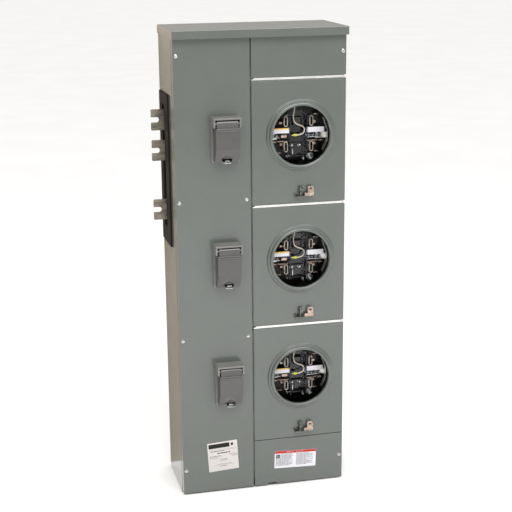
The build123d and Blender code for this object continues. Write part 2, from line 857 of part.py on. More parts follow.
def lead_radii():
    """Bend radius at each inner point: 0.45 of the shorter run over the tangent of half the turn."""
    radii = []
    for before, here, after in zip(lead_route, lead_route[1:], lead_route[2:]):
        run_in = Vector(*here) - Vector(*before)
        run_out = Vector(*after) - Vector(*here)
        turn = math.radians(run_in.get_angle(run_out))
        radii.append(0.45 * min(run_in.length, run_out.length) / math.tan(turn / 2))
    return radii


def make_test_lead(place, z):
    """Insulated lead from the block's boss, looped in front of the shield, with a sleeve and a terminal."""
    points = [(meter_x + x, -lead_depth, z + up) for x, up in lead_route]
    end_x = meter_x + lead_route[-1][0]
    end_z = z + lead_route[-1][1]
    sleeve = (end_x - sleeve_length, end_x)
    with BuildPart() as test_lead:
        with BuildLine() as route:
            FilletPolyline(*points, radius=lead_radii())
        with BuildSketch(Plane(origin=route.line @ 0, z_dir=route.line % 0)):
            Circle(lead_radius)
        sweep()
        spindle(sleeve, lead_depth, end_z, sleeve_radius)
        block(
            (sleeve[0] - terminal_length, sleeve[0]),
            around(lead_depth, terminal_width / 2),
            around(end_z, terminal_thickness / 2),
        )
    test_lead.part.label = "test_lead_" + place
    export_step(test_lead.part, f"parts/{test_lead.part.label}.step")
    length = route.wires()[0].length
    print(test_lead.part.label, "length", round(length, 1), "tube", round(math.pi * lead_radius**2 * length))


def make_breaker(place, z):
    """Breaker case, with a nose that reaches through the cover and a well for the handle."""
    nose_front = front_depth + nose_proud
    pivot = front_depth + handle_pivot
    well_half = handle_rotor + handle_gap
    with BuildPart() as breaker:
        case = around(breaker_x, breaker_width / 2)
        block(case, (load_bar_front, breaker_front), (z + breaker_low, z + breaker_high))
        block(around(breaker_x, nose_width / 2), (breaker_front, nose_front), around(z + handle_z, nose_height / 2))
        fillet(breaker.edges().group_by(Axis.Y)[0], bend_radius / 2)
        block(
            around(breaker_x, handle_width / 2 + handle_gap),
            (pivot - well_half, nose_front),
            around(z + handle_z, well_half),
            mode=Mode.SUBTRACT,
        )
        stub = handle_width / 2 + handle_gap + handle_stub
        spindle(around(breaker_x, stub), pivot, z + handle_z, handle_stub_radius + pin_clearance, mode=Mode.SUBTRACT)
    breaker.part.label = "breaker_" + place
    export_step(breaker.part, f"parts/{breaker.part.label}.step")


def make_breaker_handle(place, z):
    """Rocker with stub axles and a lever, shown in the on position with the lever up."""
    pivot = front_depth + handle_pivot
    lever = Plane(origin=(breaker_x, -pivot, z + handle_z), x_dir=(1, 0, 0), z_dir=(0, -1, 0)).rotated((-handle_tilt, 0, 0))
    with BuildPart() as breaker_handle:
        spindle(around(breaker_x, handle_width / 2), pivot, z + handle_z, handle_rotor)
        stub = handle_width / 2 + handle_stub
        spindle(around(breaker_x, stub), pivot, z + handle_z, handle_stub_radius)
        with BuildSketch(lever) as root:
            Rectangle(handle_width - 2 * handle_gap, handle_thickness)
        extrude(root.sketch, amount=handle_reach, taper=handle_taper)
    breaker_handle.part.label = "breaker_handle_" + place
    export_step(breaker_handle.part, f"parts/{breaker_handle.part.label}.step")


def make_lid_hood(place, z):
    """Frame round a breaker opening, with a roof and two ears that carry the lid's hinge pin."""
    across = around(breaker_x, hood_width / 2)
    base = (front_depth, front_depth + hood_base)
    with BuildPart() as lid_hood:
        block(across, base, (z + hood_low, z + hood_high))
        drum(breaker_x, z + hood_low - crescent_drop + crescent_radius, crescent_radius, base)
        block(across, (front_depth, front_depth + hood_proud), (z + hood_high - hood_roof, z + hood_high))
        lip = (front_depth + hood_proud - hood_roof, front_depth + hood_proud)
        block(across, lip, (z + hood_high - hood_lip, z + hood_high))
        for side in (-1, 1):
            outer = breaker_x + side * hood_width / 2
            ear = sorted((outer, outer - side * ear_thickness))
            block(ear, (front_depth, front_depth + ear_proud), (z + ear_low, z + hood_high))
        fillet(lid_hood.edges().filter_by(Axis.X).group_by(Axis.Y)[0], hood_roof / 3)
        block(
            around(breaker_x, cutout_width / 2),
            base,
            (z + cutout_low, z + cutout_high),
            mode=Mode.SUBTRACT,
        )
        bore = lid_pin_radius + pin_clearance
        spindle(across, front_depth + hinge_proud, z + hinge_z, bore, mode=Mode.SUBTRACT)
    lid_hood.part.label = "lid_hood_" + place
    export_step(lid_hood.part, f"parts/{lid_hood.part.label}.step")


def lid_outline():
    """Side outline of the lid, out from the cover's face and up from the meter's centre."""
    return [(lid_back, lid_top), (lid_front, lid_top), (lid_front, lid_bend), (lid_toe, lid_bottom), (lid_back, lid_bottom)]


def add_lid_shell(lid, z):
    """Lid body: the side outline drawn across the width, hollow and open to the back."""
    half = lid_width / 2
    with BuildSketch(side_plane(breaker_x, z)) as outside:
        Polygon(*lid_outline(), align=None)
    extrude(outside.sketch, amount=half, both=True)
    fillet(lid.edges().group_by(Axis.Y)[0], lid_wall / 2)
    with BuildSketch(side_plane(breaker_x, z)) as inside:
        Polygon(*lid_outline(), align=None)
        offset(amount=-lid_wall, kind=Kind.INTERSECTION, mode=Mode.REPLACE)
        with Locations((lid_back, (lid_top + lid_bottom) / 2)):
            Rectangle(3 * lid_wall, lid_top - lid_bottom - 2 * lid_wall)
    extrude(inside.sketch, amount=half - lid_wall, both=True, mode=Mode.SUBTRACT)


def add_lid_bump(z):
    """Low arch on the lid's sloping toe, above the slot for the padlock tongue."""
    toe = Plane(
        origin=(breaker_x, -front_depth - lid_toe, z + lid_bottom),
        x_dir=(1, 0, 0),
        z_dir=(0, lid_bottom - lid_bend, lid_toe - lid_front),
    )
    with BuildSketch(toe) as arch:
        Circle(bump_radius)
        with Locations((0, -bump_radius / 2)):
            Rectangle(3 * bump_radius, 2 * bump_radius, mode=Mode.SUBTRACT)
        offset(amount=bump_rise)
    extrude(arch.sketch, amount=bump_rise)


def make_lid(place, z):
    """Hinged weather lid over one breaker."""
    hinge_depth = front_depth + hinge_proud
    with BuildPart() as lid:
        add_lid_shell(lid, z)
        barrel = around(breaker_x, lid_width / 2 - barrel_end_gap)
        spindle(barrel, hinge_depth, z + hinge_z, barrel_radius)
        neck = tuple(front_depth + proud for proud in neck_proud)
        block(barrel, neck, (z + lid_top, z + hinge_z))
        for level in rib_levels:
            ribs = around(breaker_x, lid_width / 2 - lid_wall)
            spindle(ribs, front_depth + lid_front, z + level, rib_radius)
        add_lid_bump(z)
        block(
            around(breaker_x, tongue_width / 2 + tongue_gap),
            (front_depth + lid_back, front_depth + lid_front),
            (z + lid_bottom - bump_rise, z + lid_bottom + tongue_slot_rise),
            mode=Mode.SUBTRACT,
        )
        bore = lid_pin_radius + pin_clearance
        spindle(barrel, hinge_depth, z + hinge_z, bore, mode=Mode.SUBTRACT)
    lid.part.label = "lid_" + place
    export_step(lid.part, f"parts/{lid.part.label}.step")


def make_lid_pins():
    with BuildPart() as lid_pins:
        for z in meter_z:
            spindle(around(breaker_x, hood_width / 2), front_depth + hinge_proud, z + hinge_z, lid_pin_radius)
    lid_pins.part.label = "lid_pins"
    export_step(lid_pins.part, "parts/lid_pins.step")


def tongue_plane(z):
    """Plane of a padlock tongue: it leaves the hood's frame and slopes down as it comes forward."""
    tilt = math.radians(tongue_tilt)
    root = (breaker_x, -front_depth - hood_base, z + lid_bottom + tongue_rise)
    return Plane(origin=root, x_dir=(1, 0, 0), z_dir=(0, -math.sin(tilt), math.cos(tilt)))


def make_padlock_staples():
    """Metal tongue through the foot of each lid, with a slot near its end for a padlock."""
    with BuildPart() as padlock_staples:
        for z in meter_z:
            with BuildSketch(tongue_plane(z)) as tongue:
                with Locations((0, (tongue_width - tongue_reach) / 2)):
                    Rectangle(tongue_width, tongue_reach + tongue_width)
                fillet(tongue.vertices().group_by(Axis.Y)[0], tongue_corner)
                with Locations((0, tongue_rim + tongue_slot[1] / 2 - tongue_reach)):
                    SlotOverall(*tongue_slot, mode=Mode.SUBTRACT)
            extrude(tongue.sketch, amount=tongue_thickness)
        behind = front_depth + hood_base
        block(around(breaker_x, hood_width), (0, behind), (body_low, body_high), mode=Mode.SUBTRACT)
    padlock_staples.part.label = "padlock_staples"
    export_step(padlock_staples.part, "parts/padlock_staples.step")


def main():
    os.makedirs("parts", exist_ok=True)
    make_enclosure_shell()
    make_top_cap()
    make_bottom_endwall()
    make_centre_post()
    make_cover_rails()
    make_wiring_cover()
    make_upper_panel()
    make_lower_panel()
    make_cover_screws()
    make_label("rating_label", rating_size, left_cover, rating_offset, rating_tilt)
    make_label("warning_label", warning_size, right_cover, warning_offset, warning_tilt)
    make_bus_window_insulator()
    make_bus_window_plate()
    make_bus_supports()
    make_bus_link_bolts()
    for phase, level in bus_levels.items():
        make_cross_bus(phase, level)
        make_bus_link(phase, level)
    make_line_risers()
    make_load_bars()
    make_meter_supports()
    make_socket_lugs()
    make_lid_pins()
    make_padlock_staples()
    for place, z in zip(places, meter_z):
        make_meter_cover(place, z)
        make_hasp_bracket(place, z)
        make_hasp_latch(place, z)
        make_socket_block(place, z)
        make_meter_jaws(place, z)
        make_bypass_shield(place, z)
        make_test_lead(place, z)
        make_breaker(place, z)
        make_breaker_handle(place, z)
        make_lid_hood(place, z)
        make_lid(place, z)
    print("lead bend radii", [round(radius, 1) for radius in lead_radii()])


main()
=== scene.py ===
"""Meter socket enclosure: finishes for every CAD node, and the small parts the CAD model leaves plain."""

import math

import bmesh
import bpy
from bpy.props import FloatProperty, FloatVectorProperty, PointerProperty
from mathutils import Matrix, Vector


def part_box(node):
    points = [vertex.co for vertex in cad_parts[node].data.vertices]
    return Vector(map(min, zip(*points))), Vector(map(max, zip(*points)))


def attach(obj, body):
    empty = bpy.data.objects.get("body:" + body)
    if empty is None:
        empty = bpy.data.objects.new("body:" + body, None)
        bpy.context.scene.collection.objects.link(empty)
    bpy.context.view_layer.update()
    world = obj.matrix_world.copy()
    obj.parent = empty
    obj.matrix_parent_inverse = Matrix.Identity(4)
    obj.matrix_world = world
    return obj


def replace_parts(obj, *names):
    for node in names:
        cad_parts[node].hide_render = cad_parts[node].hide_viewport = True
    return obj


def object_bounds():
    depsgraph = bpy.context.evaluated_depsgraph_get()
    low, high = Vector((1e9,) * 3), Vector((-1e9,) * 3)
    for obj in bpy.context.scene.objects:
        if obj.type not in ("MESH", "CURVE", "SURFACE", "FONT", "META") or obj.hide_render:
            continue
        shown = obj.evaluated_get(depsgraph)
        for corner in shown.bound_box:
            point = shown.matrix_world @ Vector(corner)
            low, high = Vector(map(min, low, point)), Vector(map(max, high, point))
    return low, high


bl_info = {
    "name": "Meter Socket Enclosure",
    "version": (1, 0, 0),
    "blender": (4, 5, 0),
    "location": "View3D > Sidebar > Enclosure",
    "description": "Finishes a three-position meter socket enclosure and sets up a studio round it",
    "category": "Object",
}

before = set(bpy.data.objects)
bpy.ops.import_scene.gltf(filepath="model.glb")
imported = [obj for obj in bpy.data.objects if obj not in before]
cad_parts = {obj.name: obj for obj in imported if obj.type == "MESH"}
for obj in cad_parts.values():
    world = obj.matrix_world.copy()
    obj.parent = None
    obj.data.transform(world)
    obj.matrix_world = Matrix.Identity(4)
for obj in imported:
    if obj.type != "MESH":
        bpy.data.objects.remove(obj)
PLACES = ("top", "middle", "bottom")
CAD_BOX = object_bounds()
MM = 0.001

# Edges of a bar that turn by more than this, in radians, are rounded.
SHARP_EDGE = 0.6
# Faces that meet at less than this angle are shaded as one surface.
SMOOTH_ANGLE = math.radians(35)
# The print stands this far in front of its label, and the label has corners of this radius, in millimetres.
PRINT_PROUD = 0.06
LABEL_CORNER = 1.5


def linear(code):
    """An sRGB hex colour as linear red, green and blue."""
    values = [int(code[i : i + 2], 16) / 255 for i in (1, 3, 5)]
    return [v / 12.92 if v <= 0.04045 else ((v + 0.055) / 1.055) ** 2.4 for v in values]


# ---------------------------------------------------------------- settings


class FinishColours(bpy.types.PropertyGroup):
    body_paint: FloatVectorProperty(
        name="Body paint",
        description="Powder coat of the body, the cap and the covers",
        subtype="COLOR",
        default=linear("#505651"),
    )
    lid_paint: FloatVectorProperty(
        name="Breaker lid",
        description="Moulded lids over the breakers",
        subtype="COLOR",
        default=linear("#434241"),
    )
    hood_paint: FloatVectorProperty(
        name="Lid hood",
        description="Moulded hoods that carry the lids",
        subtype="COLOR",
        default=linear("#72716F"),
    )
    warning_band: FloatVectorProperty(
        name="Warning band",
        description="Band along the top of the lower label",
        subtype="COLOR",
        default=linear("#C42318"),
    )
    sleeve: FloatVectorProperty(
        name="Lead sleeve",
        description="Sleeve at the end of each test lead",
        subtype="COLOR",
        default=linear("#C2D62C"),
    )


class PartSizes(bpy.types.PropertyGroup):
    jaw_height: FloatProperty(
        name="Jaw height",
        description="Height of the loop of each meter jaw",
        subtype="DISTANCE",
        unit="LENGTH",
        default=29 * MM,
    )
    jaw_width: FloatProperty(
        name="Jaw width",
        description="Width of the loop of each meter jaw",
        subtype="DISTANCE",
        unit="LENGTH",
        default=11 * MM,
    )
    jaw_sheet: FloatProperty(
        name="Jaw sheet",
        description="Thickness of the sheet the jaws are bent from",
        subtype="DISTANCE",
        unit="LENGTH",
        default=2.0 * MM,
    )
    screw_head: FloatProperty(
        name="Screw head",
        description="Diameter of the washer of the cover screws",
        subtype="DISTANCE",
        unit="LENGTH",
        default=10.4 * MM,
    )
    rating_tilt: FloatProperty(
        name="Upper label tilt",
        description="How far the label on the left cover is stuck out of true",
        subtype="ANGLE",
        unit="ROTATION",
        default=math.radians(3.2),
    )
    warning_tilt: FloatProperty(
        name="Lower label tilt",
        description="How far the label on the lower panel is stuck out of true",
        subtype="ANGLE",
        unit="ROTATION",
        default=math.radians(-2.3),
    )


class Studio(bpy.types.PropertyGroup):
    key_power: FloatProperty(
        name="Front light", description="Large soft light above the front", subtype="POWER", default=125
    )
    side_power: FloatProperty(
        name="Side light", description="Warm soft light on the left side", subtype="POWER", default=7
    )
    top_power: FloatProperty(
        name="Top light", description="Warm soft light on the cap", subtype="POWER", default=1
    )
    strip_power: FloatProperty(
        name="Strip light", description="Long narrow light that draws edges", subtype="POWER", default=24
    )
    room: FloatProperty(name="Room light", description="Light from the whole ceiling", default=1.32, min=0)
    lens: FloatProperty(name="Lens", description="Focal length of the camera", unit="CAMERA", default=86.49)


# ---------------------------------------------------------------- materials


def per_metre(size_mm):
    """The scale of a pattern whose features are this many millimetres across."""
    return 1000 / size_mm


def add(tree, kind, settings=None, links=None, stops=()):
    """Adds one shader node.

    Settings that start with a capital or a number are inputs and the others are options. Stops are a ramp's.
    """
    made = tree.nodes.new("ShaderNode" + kind)
    for name, value in (settings or {}).items():
        if isinstance(name, int) or name[0].isupper():
            made.inputs[name].default_value = value
        else:
            setattr(made, name, value)
    for name, source in (links or {}).items():
        tree.links.new(source, made.inputs[name])
    for stop, (position, colour) in enumerate(stops):
        made.color_ramp.elements[stop].position = position
        made.color_ramp.elements[stop].color = (*colour, 1)
    return made


def new_material(name):
    """An empty material, its node tree and the coordinates that all its patterns use, in metres."""
    material = bpy.data.materials.new(name)
    material.use_nodes = True
    tree = material.node_tree
    tree.nodes.clear()
    place = add(tree, "TexCoord").outputs["Object"]
    return material, tree, place


def scaled(colour, amount):
    return [min(1.0, c * amount) for c in colour]


def drift(tree, place, size_mm, low, high, detail=3, spread=(0.34, 0.66)):
    """A colour that wanders between two shades in patches of this size, and the pattern behind it."""
    noise = add(tree, "TexNoise", {"Scale": per_metre(size_mm), "Detail": detail}, {"Vector": place})
    stops = ((spread[0], low), (spread[1], high))
    ramp = add(tree, "ValToRGB", {}, {"Fac": noise.outputs["Fac"]}, stops)
    return ramp.outputs["Color"], noise.outputs["Fac"]


def edge_mask(tree, radius_mm, sharpness):
    """Nought on flat faces and up to one along their edges, and the normal with those edges rounded."""
    bevel = add(tree, "Bevel", {"samples": 4, "Radius": radius_mm * MM})
    flat = add(tree, "NewGeometry")
    links = {0: bevel.outputs["Normal"], 1: flat.outputs["Normal"]}
    dot = add(tree, "VectorMath", {"operation": "DOT_PRODUCT"}, links)
    gap = add(tree, "Math", {"operation": "SUBTRACT", 0: 1.0}, {1: dot.outputs["Value"]})
    settings = {"operation": "MULTIPLY", 1: sharpness, "use_clamp": True}
    mask = add(tree, "Math", settings, {0: gap.outputs[0]})
    return mask.outputs[0], bevel.outputs["Normal"]


def layered(tree, base, grain, edges, edge_colour):
    """A colour with a fine grain multiplied into it, and another colour along the edges."""
    settings = {"data_type": "RGBA", "blend_type": "MULTIPLY", 0: 1.0}
    grained = add(tree, "Mix", settings, {6: base, 7: grain})
    links = {0: edges, 6: grained.outputs[2]}
    return add(tree, "Mix", {"data_type": "RGBA", 7: (*edge_colour, 1)}, links).outputs[2]


def surface(tree, colour, gloss, relief, rounded, settings, links=None):
    """The shader and its output.

    Gloss is a pattern and the roughness it runs between. Relief is a pattern, its strength and its depth.
    """
    pattern, low, high = gloss
    rough = add(tree, "MapRange", {"To Min": low, "To Max": high}, {"Value": pattern})
    height, strength, depth_mm = relief
    bump_links = {"Height": height}
    if rounded:
        bump_links["Normal"] = rounded
    bump = add(tree, "Bump", {"Strength": strength, "Distance": depth_mm * MM}, bump_links)
    joined = {"Base Color": colour, "Roughness": rough.outputs[0], "Normal": bump.outputs[0], **(links or {})}
    shader = add(tree, "BsdfPrincipled", settings, joined)
    add(tree, "OutputMaterial", {}, {"Surface": shader.outputs[0]})


def powder_coat(name, colour):
    """Polyester powder baked on steel: an even satin grey under a smooth skin, paler over the edges: a
    painted highlight, partly thinner paint on the edges.
    """
    material, tree, place = new_material(name)
    tone, cloud = drift(tree, place, 70, scaled(colour, 0.955), scaled(colour, 1.045), 3, (0.3, 0.7))
    speckle, _ = drift(tree, place, 3.2, (0.93, 0.93, 0.94), (1, 1, 1), 2, (0.3, 0.62))
    edges, rounded = edge_mask(tree, 1.2, 1.6)
    # The edge colour, half again as light as the paint, is a painted highlight along the edges, partly
    # thinner paint there.
    colour_out = layered(tree, tone, speckle, edges, scaled(colour, 1.5))
    # The real orange peel is about 1 mm across, drawn at 5 mm so that it still breaks up the reflections.
    peel = add(tree, "TexNoise", {"Scale": per_metre(5), "Detail": 2, "Roughness": 0.4}, {"Vector": place})
    settings = {"IOR": 1.5, "Specular IOR Level": 0.75, "Coat Weight": 1.0, "Coat Roughness": 0.1}
    relief = (peel.outputs["Fac"], 0.1, 0.1)
    surface(tree, colour_out, (cloud, 0.3, 0.4), relief, rounded, settings, {"Coat Normal": rounded})
    return material


def hot_dip_galvanised():
    """Zinc-dipped steel sheet: bright, with spangles about 9 mm across that differ a little in tone."""
    material, tree, place = new_material("hot_dip_galvanised_steel")
    spangle = add(tree, "TexVoronoi", {"Scale": per_metre(9)}, {"Vector": place})
    grey = add(tree, "SeparateColor", {}, {"Color": spangle.outputs["Color"]})
    stops = ((0.0, linear("#EAEAE8")), (1.0, linear("#F6F6F4")))
    tone = add(tree, "ValToRGB", {}, {"Fac": grey.outputs["Red"]}, stops)
    smear, cloud = drift(tree, place, 30, (0.94, 0.94, 0.94), (1, 1, 1), 4)
    edges, rounded = edge_mask(tree, 0.6, 1.2)
    # The edge colour, paler than any spangle, is a painted highlight along the edges.
    colour = layered(tree, tone.outputs["Color"], smear, edges, linear("#FBFBFA"))
    surface(tree, colour, (grey.outputs["Green"], 0.3, 0.44), (cloud, 0.15, 0.1), rounded, {"Metallic": 1.0})
    return material


def plated(name, light, dark, roughness, patch_mm):
    """Electroplated steel: thin bright zinc, a little cloudy, darker in random patches, with a painted
    highlight along its edges.
    """
    material, tree, place = new_material(name)
    tone, cloud = drift(tree, place, patch_mm, linear(dark), linear(light), 4)
    fine, grain = drift(tree, place, 1.5, (0.88, 0.88, 0.88), (1, 1, 1), 2)
    edges, rounded = edge_mask(tree, 0.7, 1.8)
    # The edge colour, lighter than the brightest zinc, is a painted highlight along the edges.
    colour = layered(tree, tone, fine, edges, scaled(linear(light), 1.3))
    gloss = (cloud, roughness - 0.07, roughness + 0.1)
    surface(tree, colour, gloss, (grain, 0.1, 0.05), rounded, {"Metallic": 1.0})
    return material


def moulded(name, colour, roughness, grain_mm=1.6, ior=1.55, edge_light=1.5, specular=0.5):
    """Moulded plastic: even colour, a spark-eroded grain that scatters the light, and paler corners: a
    painted highlight, partly wear.
    """
    material, tree, place = new_material(name)
    tone, _ = drift(tree, place, 28, scaled(colour, 0.93), scaled(colour, 1.07))
    flecks, grain = drift(tree, place, grain_mm, (0.86, 0.86, 0.87), (1, 1, 1), 2, (0.32, 0.6))
    edges, rounded = edge_mask(tree, 0.9, 1.5)
    # The corners are painted edge_light times lighter: a painted highlight, partly wear.
    colour_out = layered(tree, tone, flecks, edges, scaled(colour, edge_light))
    gloss = (grain, roughness - 0.05, roughness + 0.07)
    settings = {"IOR": ior, "Specular IOR Level": specular}
    surface(tree, colour_out, gloss, (grain, 0.22, 0.1), rounded, settings)
    return material


def tinned_copper(name, light, dark, cut_edge):
    """Tin-plated copper bar: streaky, with another colour showing on its sheared edges."""
    material, tree, place = new_material(name)
    stretched = add(tree, "Mapping", {"Scale": (0.35, 1.0, 1.0)}, {"Vector": place}).outputs[0]
    tone, streak = drift(tree, stretched, 11, linear(dark), linear(light), 5, (0.34, 0.68))
    fine, grain = drift(tree, place, 2, (0.82, 0.82, 0.82), (1, 1, 1))
    normal = add(tree, "NewGeometry").outputs["Normal"]
    facing = add(tree, "SeparateXYZ", {}, {"Vector": normal}).outputs["Y"]
    flat = add(tree, "Math", {"operation": "ABSOLUTE"}, {0: facing}).outputs[0]
    sheared = add(tree, "Math", {"operation": "LESS_THAN", 1: 0.6}, {0: flat}).outputs[0]
    cut = add(tree, "Math", {"operation": "MULTIPLY", 1: 0.75}, {0: sheared}).outputs[0]
    edges, rounded = edge_mask(tree, 1.2, 2.0)
    worn = add(tree, "Math", {"operation": "MAXIMUM"}, {0: edges, 1: cut}).outputs[0]
    colour = layered(tree, tone, fine, worn, linear(cut_edge))
    surface(tree, colour, (streak, 0.3, 0.48), (grain, 0.16, 0.08), rounded, {"Metallic": 1.0})
    return material


def clear_polycarbonate():
    """Clear polycarbonate sheet: see-through faces, and edges that gather light into a dark blue line."""
    material, tree, place = new_material("clear_polycarbonate_sheet")
    clear, haze = drift(tree, place, 12, linear("#DDE4F2"), linear("#F6F8FC"))
    normal = add(tree, "NewGeometry").outputs["True Normal"]
    facing = add(tree, "SeparateXYZ", {}, {"Vector": normal}).outputs["Y"]
    flat = add(tree, "Math", {"operation": "ABSOLUTE"}, {0: facing}).outputs[0]
    rim = add(tree, "Math", {"operation": "GREATER_THAN", 1: 0.7}, {0: flat}).outputs[0]
    settings = {"data_type": "RGBA", 7: (*linear("#2B3AA6"), 1)}
    colour = add(tree, "Mix", settings, {0: rim, 6: clear}).outputs[2]
    settings = {"IOR": 1.58, "Transmission Weight": 1.0}
    surface(tree, colour, (haze, 0.03, 0.09), (haze, 0.02, 0.1), None, settings)
    return material


def printed_vinyl(name, colour, roughness=0.34):
    """Vinyl label stock or a printed patch of it: flat colour with a faint fibre and a soft sheen."""
    material, tree, place = new_material(name)
    tone, fibre = drift(tree, place, 4, scaled(linear(colour), 0.93), linear(colour), 3, (0.3, 0.6))
    gloss = (fibre, roughness - 0.03, roughness + 0.05)
    surface(tree, tone, gloss, (fibre, 0.08, 0.05), None, {"IOR": 1.52, "Specular IOR Level": 0.35})
    return material


def extruded_pvc(name, colour):
    """Extruded insulation: smooth, slightly waxy, with light scattered just under its surface."""
    material, tree, place = new_material(name)
    tone, scuff = drift(tree, place, 5, scaled(colour, 0.86), colour, 3, (0.3, 0.6))
    settings = {"IOR": 1.53, "Subsurface Weight": 0.15, "Subsurface Scale": 1.0 * MM}
    surface(tree, tone, (scuff, 0.3, 0.42), (scuff, 0.06, 0.05), None, settings)
    return material


def studio_floor():
    """Pale matt board: nearly white, so the object stands out and shadows stay soft."""
    material, tree, place = new_material("pale_matt_board")
    tone, fibre = drift(tree, place, 400, linear("#F7F7F6"), linear("#FAFAF9"), 2)
    surface(tree, tone, (fibre, 0.85, 0.95), (fibre, 0.02, 0.1), None, {"Specular IOR Level": 0.2})
    return material


def make_materials(colours):
    """Every finish, by the short name that the pieces below use."""
    body = list(colours.body_paint)
    return {
        "body": powder_coat("grey_polyester_powder_coat", body),
        "galvanised": hot_dip_galvanised(),
        "zinc": plated("bright_zinc_plated_steel", "#E4E6E8", "#A9ADB0", roughness=0.24, patch_mm=6),
        # Dark zinc serves the hasp bracket, and as painted shade the inside of the jaws.
        "dark_zinc": plated("dark_zinc_plated_steel_and_painted_shade", "#8F928E", "#3E403C", roughness=0.34, patch_mm=5),
        "warm_zinc": plated("warm_galvanised_steel", "#DCC9BD", "#9D8578", roughness=0.34, patch_mm=5),
        "lid": moulded("grey_moulded_polycarbonate", list(colours.lid_paint), roughness=0.32, specular=0.9),
        "hood": moulded(
            "pale_grey_moulded_polycarbonate", list(colours.hood_paint), roughness=0.32, specular=0.9
        ),
        # Edges painted six times lighter: a painted highlight on the black moulding.
        "phenolic": moulded(
            "black_phenolic_moulding",
            linear("#070708"),
            roughness=0.3,
            grain_mm=1.4,
            ior=1.6,
            edge_light=6.0,
            specular=0.25,
        ),
        "insulator": moulded(
            "black_glass_polyester_sheet",
            linear("#161412"),
            roughness=0.6,
            grain_mm=2.0,
            ior=1.5,
            edge_light=2.6,
            specular=0.22,
        ),
        # Edges painted eight times lighter: a painted highlight, with some wear.
        "grey_phenolic": moulded(
            "black_phenolic_with_wear_and_painted_highlight",
            linear("#1E1F1F"),
            roughness=0.26,
            grain_mm=1.4,
            ior=1.6,
            edge_light=8.0,
            specular=0.6,
        ),
        "shield": clear_polycarbonate(),
        "tin": tinned_copper("tin_plated_copper_bar", "#ABA596", "#77716A", "#9A7350"),
        "jaw_tin": tinned_copper("tin_plated_copper_jaw", "#F2EAE2", "#C0B4A9", "#EFE6DD"),
        "polyester": moulded("black_bus_support_moulding", linear("#151414"), roughness=0.45, grain_mm=1.8),
        "breaker": moulded(
            "black_thermoset_breaker_case",
            linear("#1C1C1D"),
            roughness=0.4,
            grain_mm=1.2,
            ior=1.58,
            edge_light=2.4,
        ),
        "handle": moulded(
            "black_satin_handle", linear("#0E0E0F"), roughness=0.3, grain_mm=1.2, ior=1.55, edge_light=3.0
        ),
        "label": printed_vinyl("off_white_vinyl_label", "#CDC8C6"),
        "label_white": printed_vinyl("white_vinyl_label", "#DEDEE4"),
        "ink": printed_vinyl("black_label_ink", "#0D0C0C", roughness=0.5),
        "fine_print": printed_vinyl("grey_label_ink", "#6F6D6C", roughness=0.4),
        "band": extruded_pvc("red_label_ink", list(colours.warning_band)),
        "yellow": printed_vinyl("yellow_label_ink", "#E3B43C", roughness=0.36),
        "lead": extruded_pvc("white_pvc_insulation", linear("#DACFC4")),
        "sleeve": extruded_pvc("yellow_green_pvc_sleeve", list(colours.sleeve)),
        "ferrule": extruded_pvc("orange_pvc_ferrule", linear("#E07A22")),
    }


# The finish of each CAD node, by the start of its name.
NODE_FINISH = {
    "enclosure_shell": "body",
    "top_cap": "body",
    "bottom_endwall": "body",
    "wiring_cover": "body",
    "upper_panel": "body",
    "lower_panel": "body",
    "meter_cover": "body",
    "centre_post": "galvanised",
    "cover_rails": "galvanised",
    "bus_window_plate": "galvanised",
    "cover_screws": "zinc",
    "hasp_bracket": "dark_zinc",
    "hasp_latch": "warm_zinc",
    "rating_label": "label",
    "warning_label": "label_white",
    "bus_window_insulator": "insulator",
    "bus_link_bolts": "zinc",
    "bus_link": "tin",
    "cross_bus": "tin",
    "bus_supports": "polyester",
    "line_risers": "tin",
    "load_bars": "tin",
    "socket_block": "phenolic",
    "meter_jaws": "jaw_tin",
    "meter_supports": "galvanised",
    "bypass_shield": "shield",
    "socket_lugs": "zinc",
    "test_lead": "lead",
    "breaker_handle": "handle",
    "breaker": "breaker",
    "lid_hood": "hood",
    "lid_pins": "zinc",
    "lid": "lid",
    "padlock_staples": "zinc",
}

finishes = {}


# ---------------------------------------------------------------- mesh tools


def at(x, depth, z):
    """A point in millimetres: across to the right, out from the wall, and up."""
    return Vector((x, -depth, z)) * MM


def in_mm(point):
    """A point of the frame as millimetres: across, out from the wall, and up."""
    return point.x / MM, -point.y / MM, point.z / MM


def centre_of(node):
    low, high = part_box(node)
    return in_mm((low + high) / 2)


def depth_span(node):
    """How far the back and the front of a CAD node stand out from the wall, in millimetres."""
    return sorted(in_mm(corner)[1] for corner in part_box(node))


def solids(node):
    """The boxes of a CAD node's separate solids, as pairs of corners in millimetres."""
    shape = bmesh.new()
    shape.from_mesh(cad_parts[node].data)
    bmesh.ops.remove_doubles(shape, verts=shape.verts, dist=1e-6)
    left, boxes = set(shape.verts), []
    while left:
        waiting, points = [left.pop()], []
        while waiting:
            vert = waiting.pop()
            points.append(in_mm(vert.co))
            for edge in vert.link_edges:
                other = edge.other_vert(vert)
                if other in left:
                    left.remove(other)
                    waiting.append(other)
        boxes.append(([min(axis) for axis in zip(*points)], [max(axis) for axis in zip(*points)]))
    shape.free()
    return sorted(boxes, key=lambda box: (-round(box[0][2]), round(box[0][0])))


def lofted(shape, rings, material=0, caps=(True, True)):
    """Joins rings of points with faces, and closes the ends that caps asks for."""
    made = [[shape.verts.new(point) for point in ring] for ring in rings]
    count = len(made[0])
    for first, second in zip(made, made[1:]):
        for i in range(count):
            j = (i + 1) % count
            face = shape.faces.new((first[i], first[j], second[j], second[i]))
            face.material_index = material
            face.smooth = True
    for ring, wanted in ((made[0], caps[0]), (made[-1], caps[1])):
        if wanted:
            shape.faces.new(ring).material_index = material


